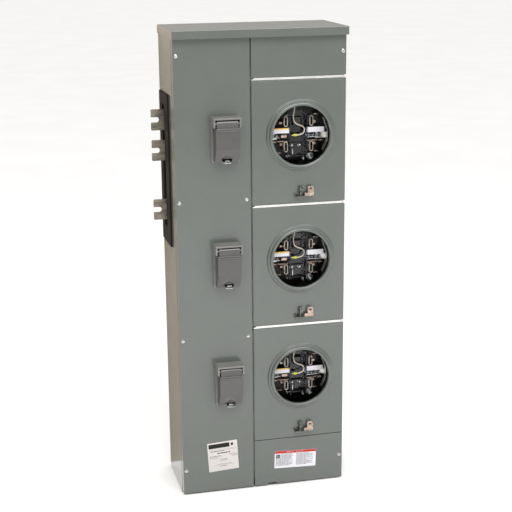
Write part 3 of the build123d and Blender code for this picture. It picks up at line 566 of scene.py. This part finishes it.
def prism(shape, outline, span, along="depth", rounding=0.3, material=0):
    """A bar with rounded edges. Its outline is across and up, or across and outwards if the bar runs up."""
    place = {"depth": lambda u, v, w: at(u, w, v), "up": lambda u, v, w: at(u, v, w)}[along]
    part = bmesh.new()
    rings = [[place(u, v, w) for u, v in outline] for w in span]
    verts = [[part.verts.new(point) for point in ring] for ring in rings]
    count = len(outline)
    for i in range(count):
        j = (i + 1) % count
        part.faces.new((verts[0][i], verts[0][j], verts[1][j], verts[1][i]))
    part.faces.new(verts[0])
    part.faces.new(verts[1])
    bmesh.ops.recalc_face_normals(part, faces=part.faces)
    sharp = [edge for edge in part.edges if edge.calc_face_angle(0) > SHARP_EDGE]
    bmesh.ops.bevel(
        part, geom=sharp, offset=rounding * MM, segments=2, profile=0.6, affect="EDGES", clamp_overlap=True
    )
    for face in part.faces:
        face.material_index = material
    merge(shape, part)


def merge(shape, part):
    """Adds a finished mesh to the one being built."""
    mesh = bpy.data.meshes.new("part")
    part.to_mesh(mesh)
    part.free()
    shape.from_mesh(mesh)
    bpy.data.meshes.remove(mesh)


def turned(shape, centre, stations, axis="depth", steps=32, material=0):
    """A turned part. Each station is a radius, a distance along, and how far it is a hexagon, from 0 to 1."""
    side = 2 * math.pi / 6
    x, depth, z = centre
    rings = []
    for radius, along, hexagon in stations:
        ring = []
        for i in range(steps):
            angle = 2 * math.pi * i / steps
            local = (angle + side / 2) % side - side / 2
            flat = math.cos(side / 2) / math.cos(local)
            reach = radius * (1 + hexagon * (flat - 1))
            u, v = reach * math.cos(angle), reach * math.sin(angle)
            if axis == "depth":
                ring.append(at(x + u, depth + along, z + v))
            else:
                ring.append(at(x + along, depth + u, z + v))
        rings.append(ring)
    lofted(shape, rings, material)


def swept(shape, points, width, thickness, up=(0, 0, 1), material=0):
    """A flat strip that follows points, with its width along up."""
    rings = []
    rise = Vector(up).normalized()
    for i, point in enumerate(points):
        before, after = points[max(i - 1, 0)], points[min(i + 1, len(points) - 1)]
        side = (after - before).normalized().cross(rise).normalized()
        u, v = side * thickness * MM / 2, rise * width * MM / 2
        rings.append([point + u + v, point - u + v, point - u - v, point + u - v])
    lofted(shape, rings, material)


def oval(x, z, width, height, steps=8):
    """A loop with straight sides and round ends, as across and up."""
    radius, straight = width / 2, (height - width) / 2
    points = []
    for end, start in ((1, 0), (-1, math.pi)):
        for i in range(steps + 1):
            angle = start + math.pi * i / steps
            points.append((x + radius * math.cos(angle), z + end * straight + radius * math.sin(angle)))
    return points


def rounded_box(x, z, width, height, radius, steps=3):
    """A rectangle with rounded corners, as across and up."""
    points = []
    for k, (sx, sz) in enumerate(((1, 1), (-1, 1), (-1, -1), (1, -1))):
        for i in range(steps + 1):
            angle = math.pi / 2 * (k + i / steps)
            points.append(
                (
                    x + sx * (width / 2 - radius) + radius * math.cos(angle),
                    z + sz * (height / 2 - radius) + radius * math.sin(angle),
                )
            )
    return points


def box_outline(low_u, high_u, low_v, high_v):
    return [(low_u, low_v), (high_u, low_v), (high_u, high_v), (low_u, high_v)]


def make_piece(name, shape, materials, body, replaces=()):
    """Turns a built mesh into a piece that rides on a CAD body."""
    bmesh.ops.recalc_face_normals(shape, faces=shape.faces)
    for edge in shape.edges:
        edge.smooth = edge.calc_face_angle(math.pi) < SMOOTH_ANGLE
    for face in shape.faces:
        face.smooth = True
    mesh = bpy.data.meshes.new(name)
    shape.to_mesh(mesh)
    shape.free()
    for key in materials:
        mesh.materials.append(finishes[key])
    piece = bpy.data.objects.new(name, mesh)
    bpy.context.scene.collection.objects.link(piece)
    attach(piece, body)
    for node in replaces:
        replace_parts(piece, node)
    return piece


# ---------------------------------------------------------------- pieces


class ENCLOSURE_OT_paint(bpy.types.Operator):
    """Give every CAD node the finish of the real part"""

    bl_idname = "enclosure.paint"
    bl_label = "Finish the Sheet Metal and Bars"

    def execute(self, context):
        finishes.update(make_materials(context.scene.enclosure_colours))
        starts = sorted(NODE_FINISH, key=len, reverse=True)
        for name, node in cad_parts.items():
            found = next((start for start in starts if name.startswith(start)), None)
            if found is None:
                raise RuntimeError(f"no finish is given for {name}")
            if not node.material_slots:
                node.data.materials.append(None)
            for material_slot in node.material_slots:
                material_slot.material = finishes[NODE_FINISH[found]]
        return {"FINISHED"}


class ENCLOSURE_OT_screws(bpy.types.Operator):
    """Fit hexagon washer-head screws at the edges of the covers"""

    bl_idname = "enclosure.screws"
    bl_label = "Cover Screws"

    def execute(self, context):
        radius = context.scene.enclosure_sizes.screw_head / MM / 2
        shape = bmesh.new()
        for low, high in solids("cover_screws"):
            x, z, top = (low[0] + high[0]) / 2, (low[2] + high[2]) / 2, high[1]
            stations = [
                (2.9, low[1] - top, 0),
                (2.9, -4.0, 0),
                (radius - 0.3, -4.0, 0),
                (radius, -3.7, 0),
                (radius, -3.4, 0),
                (radius - 0.8, -3.0, 0),
                (4.0, -2.85, 0),
                (4.0, -2.7, 1),
                (4.0, -0.5, 1),
                (3.5, 0, 0.5),
                (2.5, 0, 0),
                (1.8, -0.7, 0),
                (0.5, -0.9, 0),
            ]
            turned(shape, (x, top, z), stations)
        make_piece("cover_screw_heads", shape, ["zinc"], "enclosure", ["cover_screws"])
        return {"FINISHED"}


def printed(shape, centre, front, tilt, patches):
    """Flat printed patches on a tilted label: each is left, right, low and high, and its material."""
    turn = Matrix.Rotation(-tilt, 3, "Y")
    x, z = centre
    for left, right, low, high, material in patches:
        corners = []
        for u, v in box_outline(left, right, low, high):
            local = turn @ Vector((u, 0, v))
            corners.append(shape.verts.new(at(x + local.x, front + PRINT_PROUD, z + local.z)))
        shape.faces.new(corners).material_index = material


def label_sheet(shape, centre, depths, tilt, size):
    """The sheet itself: rounded corners, a fine bevel and its real thickness."""
    turn = Matrix.Rotation(-tilt, 3, "Y")
    outline = []
    for u, v in rounded_box(0, 0, *size, LABEL_CORNER):
        local = turn @ Vector((u, 0, v))
        outline.append((centre[0] + local.x, centre[1] + local.z))
    prism(shape, outline, depths, rounding=0.08)


class ENCLOSURE_OT_labels(bpy.types.Operator):
    """Stick on the two labels, with plain bars where the real ones are printed"""

    bl_idname = "enclosure.labels"
    bl_label = "Labels"

    def execute(self, context):
        sizes = context.scene.enclosure_sizes
        self.rating(sizes.rating_tilt)
        self.warning(sizes.warning_tilt)
        return {"FINISHED"}

    def rating(self, tilt):
        x, _, z = centre_of("rating_label")
        depths = depth_span("rating_label")
        shape = bmesh.new()
        label_sheet(shape, (x, z), depths, tilt, (89, 90))
        patches = [(-41, 21, 27, 40.5, 1), (25, 32, 30, 38, 1), (-40, 40, 21.2, 21.8, 2)]
        lines = [
            (-36, 6, 17.5, 1.8, 1),
            (10, 39, 18.6, 0.8, 2),
            (-16, 22, 10.5, 3.0, 1),
            (-39, -6, 2.0, 1.6, 1),
            (19, 41, 4.4, 1.2, 2),
            (21, 41, 1.2, 1.0, 2),
            (27, 41, -2.2, 1.4, 1),
            (-39, -15, -2.2, 0.9, 2),
            (-39, -3, -5.0, 0.9, 2),
            (-7, 11, -9.8, 1.5, 1),
            (-11, 15, -13.6, 0.9, 2),
            (-18, 24, -24.0, 0.9, 2),
            (-26, 30, -27.0, 1.0, 2),
            (-10, 8, -31.0, 1.4, 1),
        ]
        for left, right, height, thick, material in lines:
            patches += broken_line(left, right, height, thick, material)
        printed(shape, (x, z), depths[1], tilt, patches)
        materials = ["label", "ink", "fine_print"]
        make_piece("rating_label_print", shape, materials, "enclosure", ["rating_label"])

    def warning(self, tilt):
        x, _, z = centre_of("warning_label")
        depths = depth_span("warning_label")
        shape = bmesh.new()
        label_sheet(shape, (x, z), depths, tilt, (126, 54))
        patches = [(-62.6, 62.6, 19, 26.7, 1), (-59, -46, 4, 16, 2), (-57.6, -47.4, 5.4, 14.6, 0)]
        patches += [(-53.2, -51.4, 6.6, 13.4, 2), (-55.8, -53.2, 9.0, 10.6, 2), (-51.4, -49.0, 9.6, 11.2, 2)]
        patches += [(left, left + 6.5, 21.6, 24.2, 0) for left in (-28, -20, -12, 1, 9, 17)]
        pitch, first, thick = 2.9, 16.2, 1.5
        for i, reach in enumerate((36, 34, 37, 33, 30, 36, 28, 37, 22, 35, 31, 37, 26)):
            height = first - i * pitch
            left = -43 if height > 2 else -59
            patches += broken_line(left, left + reach + (16 if left < -50 else 0), height, thick, 3)
        for i, reach in enumerate((38, 52, 49, 53, 44, 51, 30, 53, 38, 50, 46, 52, 33)):
            patches += broken_line(3, 3 + reach, first - i * pitch, thick, 3)
        printed(shape, (x, z), depths[1], tilt, patches)
        materials = ["label_white", "band", "ink", "fine_print"]
        make_piece("warning_label_print", shape, materials, "enclosure", ["warning_label"])


def broken_line(left, right, height, thick, material):
    """A line of plain bars of uneven lengths, like print too small to read."""
    lengths, gap = (5.0, 3.2, 7.4, 4.1, 6.2, 2.6), 0.9
    patches, x, i = [], left, 0
    while x < right - 1:
        end = min(x + lengths[i % len(lengths)], right)
        patches.append((x, end, height - thick / 2, height + thick / 2, material))
        x, i = end + gap, i + 1
    return patches


class ENCLOSURE_OT_jaws(bpy.types.Operator):
    """Form the four spring jaws of every socket: a bent loop with leaves that grip the meter's blade"""

    bl_idname = "enclosure.jaws"
    bl_label = "Meter Jaws"

    # Points of one leaf, from its lip inwards: how far from the middle, and how far behind the front.
    leaf = [(4.2, 0.6), (3.4, 0.2), (2.2, 1.6), (1.2, 4.2), (1.0, 8.0), (1.8, 13), (3.6, 17)]

    def execute(self, context):
        sizes = context.scene.enclosure_sizes
        height, width, sheet = (v / MM for v in (sizes.jaw_height, sizes.jaw_width, sizes.jaw_sheet))
        for place in PLACES:
            node = f"meter_jaws_{place}"
            shape = bmesh.new()
            for low, high in solids(node):
                x, z = (low[0] + high[0]) / 2, (low[2] + high[2]) / 2
                self.jaw(shape, x, z, low[1], high[1], height, width, sheet)
            materials = ["jaw_tin", "zinc", "dark_zinc"]
            make_piece(node + "_formed", shape, materials, "enclosure", [node])
        return {"FINISHED"}

    def jaw(self, shape, x, z, back, front, height, width, sheet):
        mouth = front - 19
        outer = oval(x, z, width, height)
        rim = oval(x, z, width - 0.8, height - 0.8)
        inner_rim = oval(x, z, width - 2 * sheet + 0.8, height - 2 * sheet + 0.8)
        inner = oval(x, z, width - 2 * sheet, height - 2 * sheet)
        stem = oval(x, z, 9, 20)
        outside = [(stem, back), (stem, mouth - 3), (outer, mouth), (outer, front - 0.5), (rim, front)]
        outside += [(inner_rim, front), (inner, front - 0.5), (inner, front - 2)]
        # The inner wall of the loop and the leaves take the dark zinc: painted shade inside the jaw.
        inside = [(inner, front - 2), (inner, mouth + 1.5)]
        for rings, material, caps in ((outside, 0, (True, False)), (inside, 2, (False, True))):
            lofted(shape, [[at(u, depth, v) for u, v in ring] for ring, depth in rings], material, caps=caps)
        for side in (-1, 1):
            for half in (-1, 1):
                leaf_z = z + half * 4.3
                path = [at(x + side * reach, front - behind, leaf_z) for reach, behind in self.leaf]
                swept(shape, path, 6.4, 0.9, material=2)
            turned(
                shape,
                (x + side * (width / 2 - 0.1), front - 9, z),
                [(2.4, 0, 0), (2.4, side * 0.5, 0), (1.6, side * 1.0, 0), (0.4, side * 1.1, 0)],
                "across",
                16,
                material=1,
            )


class ENCLOSURE_OT_leads(bpy.types.Operator):
    """Lay the white test lead of every socket, with its sleeve, ferrule and flat terminal"""

    bl_idname = "enclosure.leads"
    bl_label = "Test Leads"

    # The lead's way from the middle of the socket, as across and up.
    route = [(-8.0, 84.0), (-8.0, 67.0), (-13.5, 47.0), (-9.0, 27.0)]
    route += [(21.5, 17.5), (17.5, -5.0), (-3.0, -5.0)]

    def execute(self, context):
        for place in PLACES:
            x, _, z = centre_of(f"meter_jaws_{place}")
            depth = centre_of(f"test_lead_{place}")[1]
            points = [at(x + u, depth, z + v) for u, v in self.route]
            end = self.route[-1]
            sleeve = self.sleeve(place, x + end[0], depth, z + end[1])
            ferrule = self.ferrule(place, x + end[0], depth, z + end[1])
            terminal = self.terminal(place, x + end[0], depth, z + end[1])
            wire = self.wire(place, points)
        return {"FINISHED"}

    def wire(self, place, points):
        curve = bpy.data.curves.new(f"test_lead_wire_{place}", "CURVE")
        curve.dimensions = "3D"
        curve.bevel_depth = 1.6 * MM
        curve.bevel_resolution = 5
        curve.resolution_u = 16
        curve.use_fill_caps = True
        spline = curve.splines.new("NURBS")
        spline.points.add(len(points) - 1)
        for point, place_of in zip(spline.points, points):
            point.co = (*place_of, 1)
        spline.order_u = 3
        spline.use_endpoint_u = True
        curve.materials.append(finishes["lead"])
        wire = bpy.data.objects.new(f"test_lead_wire_{place}", curve)
        bpy.context.scene.collection.objects.link(wire)
        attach(wire, "enclosure")
        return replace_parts(wire, f"test_lead_{place}")

    def sleeve(self, place, x, depth, z):
        shape = bmesh.new()
        stations = [(1.7, 0.6, 0), (2.7, 0.5, 0), (3.3, 0, 0), (3.2, -3.0, 0), (3.3, -6.0, 0), (3.2, -8.6, 0)]
        stations += [(2.8, -9.0, 0), (2.0, -9.0, 0)]
        turned(shape, (x, depth, z), stations, "across")
        return make_piece(f"test_lead_sleeve_{place}", shape, ["sleeve"], "enclosure")

    def ferrule(self, place, x, depth, z):
        shape = bmesh.new()
        stations = [(2.2, -8.8, 0), (2.6, -9.1, 0), (2.6, -10.8, 0), (2.2, -11.2, 0), (1.2, -11.3, 0)]
        turned(shape, (x, depth, z), stations, "across")
        return make_piece(f"test_lead_ferrule_{place}", shape, ["ferrule"], "enclosure")

    def terminal(self, place, x, depth, z):
        shape = bmesh.new()
        barrel = [(1.2, -10.9, 0), (1.9, -11.2, 0), (1.9, -13.2, 0), (1.3, -14.2, 0), (0.4, -14.4, 0)]
        turned(shape, (x, depth, z), barrel, "across", 20)
        path = [at(x + u, depth + d, z + v) for u, d, v in ((-12.5, 0, 0), (-14.5, 0, 0.3), (-17, -0.6, 1.4))]
        path += [at(x + u, depth + d, z + v) for u, d, v in ((-19.0, -1.4, 3.2), (-20.2, -2.2, 5.6))]
        swept(shape, path, 5.2, 0.9, up=(0, 1, 0))
        return make_piece(f"test_lead_terminal_{place}", shape, ["zinc"], "enclosure")


def screw_stations(radius, height, head=0.0):
    """A round screw head with a washer under it, standing up from where it is placed."""
    washer = radius * 1.45
    return [
        (washer - 0.2, 0, 0),
        (washer, 0.2, 0),
        (washer, 0.7, 0),
        (washer - 0.3, 0.9, 0),
        (radius, 1.0, 0),
        (radius, height * 0.6, head),
        (radius * 0.8, height * 0.92, 0),
        (radius * 0.45, height, 0),
        (radius * 0.3, height * 0.8, 0),
    ]


class ENCLOSURE_OT_socket_hardware(bpy.types.Operator):
    """Fit what stands on every socket block: label strips, plates, clips, screws and the centre box"""

    bl_idname = "enclosure.socket_hardware"
    bl_label = "Socket Hardware"

    def execute(self, context):
        for place in PLACES:
            x, _, z = centre_of(f"meter_jaws_{place}")
            shelf = depth_span(f"socket_block_{place}")[1]
            face = shelf - 22
            self.label_strips(place, x, z, shelf)
            self.straps(place, x, z, face)
            self.clips(place, x, z, face)
            self.centre_box(place, x, z, face)
            self.lug_thread(place, z)
        return {"FINISHED"}

    def label_strips(self, place, x, z, shelf):
        shape = bmesh.new()
        for left, right, material in ((24.5, 74.5, 0), (-72, -26, 0)):
            outline = rounded_box(x + (left + right) / 2, z + 9.8, right - left, 14.4, 0.8)
            prism(shape, outline, (shelf + 0.05, shelf + 0.85), rounding=0.15, material=material)
        outline = box_outline(x - 71.8, x - 26.2, z + 13.4, z + 16.8)
        prism(shape, outline, (shelf + 0.9, shelf + 1.1), rounding=0.05, material=1)
        make_piece(f"shelf_labels_{place}", shape, ["label_white", "yellow"], "enclosure")

    def straps(self, place, x, z, face):
        shape = bmesh.new()
        for side in (-1, 1):
            for start, end, height in ((27, 58, -21.5), (62, 73, -22.5), (46, 62, 52), (48, 60, -53)):
                across = sorted((x + side * start, x + side * end))
                outline = box_outline(*across, face, face + 15)
                prism(shape, outline, (z + height - 0.9, z + height + 0.9), "up", 0.3)
        for u, low, high in ((-46, -34, -27.5), (49, -34, -27.5), (49, 27, 33), (-47, 27, 33)):
            outline = box_outline(x + u - 4, x + u + 4, z + low, z + high)
            prism(shape, outline, (face, face + 11), rounding=0.6)
        make_piece(f"strap_plates_{place}", shape, ["warm_zinc"], "enclosure")

    def clips(self, place, x, z, face):
        shape = bmesh.new()
        for u, v, radius in ((33, -6, 4.2), (43, -7, 3.6), (53, -6, 3.2), (66, -5, 3.4), (-58, -6, 3.6)):
            turned(shape, (x + u, face, z + v), screw_stations(radius, 15), steps=24)
        for u, v, radius in ((-69, -3, 2.6), (-14, -35, 3.4), (8.5, -35, 3.4), (-27, 50, 2.4), (26, 51, 2.4)):
            turned(shape, (x + u, face, z + v), screw_stations(radius, 10), steps=24)
        for u, v, radius in ((-28, -67, 2.2), (20, -74, 3.0)):
            turned(shape, (x + u, face, z + v), screw_stations(radius, 8), steps=24)
        prism(shape, box_outline(x + 28, x + 70, z - 12.5, z - 10.8), (face, face + 16), rounding=0.4)
        prism(shape, box_outline(x - 69, x - 51, z - 11.5, z - 9.8), (face, face + 14), rounding=0.4)
        prism(shape, box_outline(x - 15, x - 12.4, z - 60, z - 42), (face, face + 12), rounding=0.5)
        clip = rounded_box(x - 39.5, z - 6.5, 17, 8.5, 1.6)
        prism(shape, clip, (face, face + 17), rounding=0.8, material=1)
        materials = ["zinc", "warm_zinc"]
        make_piece(f"terminal_screws_{place}", shape, materials, "enclosure")

    def centre_box(self, place, x, z, face):
        shape = bmesh.new()
        outer = rounded_box(x + 2.5, z + 32, 27, 24, 1.6)
        middle = rounded_box(x + 2.5, z + 32, 25.6, 22.6, 1.2)
        inner = rounded_box(x + 2.5, z + 32, 22.5, 19.5, 0.8)
        rings = [(outer, face), (outer, face + 11.4), (middle, face + 12)]
        rings += [(inner, face + 12), (inner, face + 3)]
        lofted(shape, [[at(u, depth, v) for u, v in ring] for ring, depth in rings])
        for low, high in ((-30, -28), (-66, -64)):
            prism(shape, box_outline(x - 20, x + 20, z + low, z + high), (face, face + 9), rounding=0.5)
        make_piece(f"centre_box_{place}", shape, ["grey_phenolic"], "enclosure")

    def lug_thread(self, place, z):
        boxes = [b for b in solids("socket_lugs") if b[0][2] < z - 40 and b[1][2] > z - 90]
        low, high = boxes[0]
        centre = ((low[0] + high[0]) / 2, high[1], (low[2] + high[2]) / 2)
        shape = bmesh.new()
        stations = []
        for turn in range(4):
            start = -3.6 + turn * 0.9
            stations += [(5.9 - turn * 1.1, start, 0), (5.2 - turn * 1.1, start + 0.25, 0)]
            stations += [(4.9 - turn * 1.1, start - 0.35, 0)]
        stations += [(1.1, -1.9, 1), (0.4, -1.9, 0)]
        turned(shape, centre, stations, steps=36)
        make_piece(f"lug_screw_{place}", shape, ["zinc"], "enclosure")


# Each light: where it stands, the point it faces, its width and height in metres, and its colour.
LIGHTS = {
    "front_light": ((0.4, -3.0, 3.4), (0.0, -0.2, 0.0), (4.4, 2.0), "#FFFFFF"),
    "side_light": ((-3.4, -0.6, 0.5), (-0.3, -0.1, 0.0), (1.4, 2.4), "#FFC07E"),
    "top_light": ((-0.3, 0.4, 3.2), (0.0, -0.1, 0.6), (1.8, 1.8), "#FFD9B4"),
    "strip_light": ((-1.0, -2.0, 2.9), (0.0, -0.2, 0.2), (3.0, 0.5), "#FFFFFF"),
}

# The camera: where it stands, its own right, up and backward directions, and the shift of its sensor.
CAMERA_PLACE = (-0.7983, -3.4496, 0.9255)
CAMERA_RIGHT = (0.97164615, -0.23627222, -0.00889904)
CAMERA_UP = (0.07348583, 0.26600149, 0.96116754)
CAMERA_BACK = (-0.22473004, -0.93456869, 0.27582199)
CAMERA_SHIFT = (0.0019, 0.0460)

# The floor lies this far under the enclosure, so that no face shares its plane.
FLOOR_GAP = 0.0005


class ENCLOSURE_OT_stage(bpy.types.Operator):
    """Stand the enclosure on a pale floor, under soft lights, in front of the camera"""

    bl_idname = "enclosure.stage"
    bl_label = "Floor, Lights and Camera"

    def execute(self, context):
        studio = context.scene.enclosure_studio
        context.scene.view_settings.view_transform = "Standard"
        self.floor()
        self.flag()
        self.room(context, studio.room)
        powers = (studio.key_power, studio.side_power, studio.top_power, studio.strip_power)
        for (name, placing), power in zip(LIGHTS.items(), powers):
            self.light(name, *placing, power)
        self.camera(context, studio.lens)
        return {"FINISHED"}

    def floor(self):
        shape = bmesh.new()
        height = CAD_BOX[0].z - FLOOR_GAP
        corners = [Vector((x, y, height)) for x, y in ((-40, -30), (40, -30), (40, 60), (-40, 60))]
        shape.faces.new([shape.verts.new(corner) for corner in corners])
        mesh = bpy.data.meshes.new("floor")
        shape.to_mesh(mesh)
        shape.free()
        mesh.materials.append(studio_floor())
        floor = bpy.data.objects.new("floor", mesh)
        bpy.context.scene.collection.objects.link(floor)

    def flag(self):
        """A warm grey card behind the left side, which shows only as a reflection in the glossy side wall."""
        shape = bmesh.new()
        low, high = CAD_BOX[0].z, CAD_BOX[1].z + 0.4
        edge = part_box("enclosure_shell")[0].x
        depth = CAD_BOX[1].y + 0.02
        corners = [(x, depth, z) for x, z in box_outline(edge - 1, edge, low, high)]
        shape.faces.new([shape.verts.new(corner) for corner in corners])
        mesh = bpy.data.meshes.new("flag")
        shape.to_mesh(mesh)
        shape.free()
        mesh.materials.append(printed_vinyl("warm_grey_card", "#BEB4A6", 0.8))
        flag = bpy.data.objects.new("flag", mesh)
        flag.visible_camera = False
        flag.visible_diffuse = False
        flag.visible_shadow = False
        flag.visible_transmission = False
        bpy.context.scene.collection.objects.link(flag)

    def room(self, context, strength):
        """A white room: a bright ceiling that falls off towards the walls."""
        world = bpy.data.worlds.new("studio_room")
        world.use_nodes = True
        tree = world.node_tree
        tree.nodes.clear()
        place = add(tree, "TexCoord").outputs["Generated"]
        height = add(tree, "SeparateXYZ", {}, {"Vector": place}).outputs["Z"]
        stops = ((0.0, linear("#8A8681")), (1.0, linear("#FFFFFF")))
        tone = add(tree, "ValToRGB", {}, {"Fac": height}, stops).outputs["Color"]
        sky = add(tree, "Background", {"Strength": strength}, {"Color": tone})
        add(tree, "OutputWorld", {}, {"Surface": sky.outputs[0]})
        context.scene.world = world

    def light(self, name, place, target, size, colour, power):
        lamp = bpy.data.lights.new(name, "AREA")
        lamp.shape = "RECTANGLE"
        lamp.size, lamp.size_y = size
        lamp.energy = power
        lamp.color = linear(colour)
        made = bpy.data.objects.new(name, lamp)
        made.location = place
        made.rotation_euler = (Vector(target) - Vector(place)).to_track_quat("-Z", "Y").to_euler()
        bpy.context.scene.collection.objects.link(made)

    def camera(self, context, lens):
        data = bpy.data.cameras.new("camera")
        data.sensor_width = 36
        data.lens = lens
        data.shift_x, data.shift_y = CAMERA_SHIFT
        data.dof.use_dof = False
        data.clip_end = 100
        camera = bpy.data.objects.new("camera", data)
        turn = Matrix((CAMERA_RIGHT, CAMERA_UP, CAMERA_BACK)).transposed().to_4x4()
        camera.matrix_world = Matrix.Translation(CAMERA_PLACE) @ turn
        context.scene.collection.objects.link(camera)
        context.scene.camera = camera


class ENCLOSURE_PT_panel(bpy.types.Panel):
    bl_idname = "ENCLOSURE_PT_panel"
    bl_label = "Meter Socket Enclosure"
    bl_space_type = "VIEW_3D"
    bl_region_type = "UI"
    bl_category = "Enclosure"

    def draw(self, context):
        layout = self.layout
        for operator in OPERATORS:
            layout.operator(operator.bl_idname)
        for name in ("enclosure_colours", "enclosure_sizes", "enclosure_studio"):
            group = getattr(context.scene, name)
            for prop in group.__annotations__:
                layout.prop(group, prop)


OPERATORS = (
    ENCLOSURE_OT_paint,
    ENCLOSURE_OT_screws,
    ENCLOSURE_OT_labels,
    ENCLOSURE_OT_jaws,
    ENCLOSURE_OT_leads,
    ENCLOSURE_OT_socket_hardware,
    ENCLOSURE_OT_stage,
)
CLASSES = (FinishColours, PartSizes, Studio, *OPERATORS, ENCLOSURE_PT_panel)


def register():
    for cls in CLASSES:
        bpy.utils.register_class(cls)
    bpy.types.Scene.enclosure_colours = PointerProperty(type=FinishColours)
    bpy.types.Scene.enclosure_sizes = PointerProperty(type=PartSizes)
    bpy.types.Scene.enclosure_studio = PointerProperty(type=Studio)


def unregister():
    for name in ("enclosure_colours", "enclosure_sizes", "enclosure_studio"):
        delattr(bpy.types.Scene, name)
    for cls in reversed(CLASSES):
        bpy.utils.unregister_class(cls)


def main():
    register()
    bpy.ops.enclosure.paint()
    bpy.ops.enclosure.screws()
    bpy.ops.enclosure.labels()
    bpy.ops.enclosure.jaws()
    bpy.ops.enclosure.leads()
    bpy.ops.enclosure.socket_hardware()
    bpy.ops.enclosure.stage()


if __name__ == "__main__":
    main()
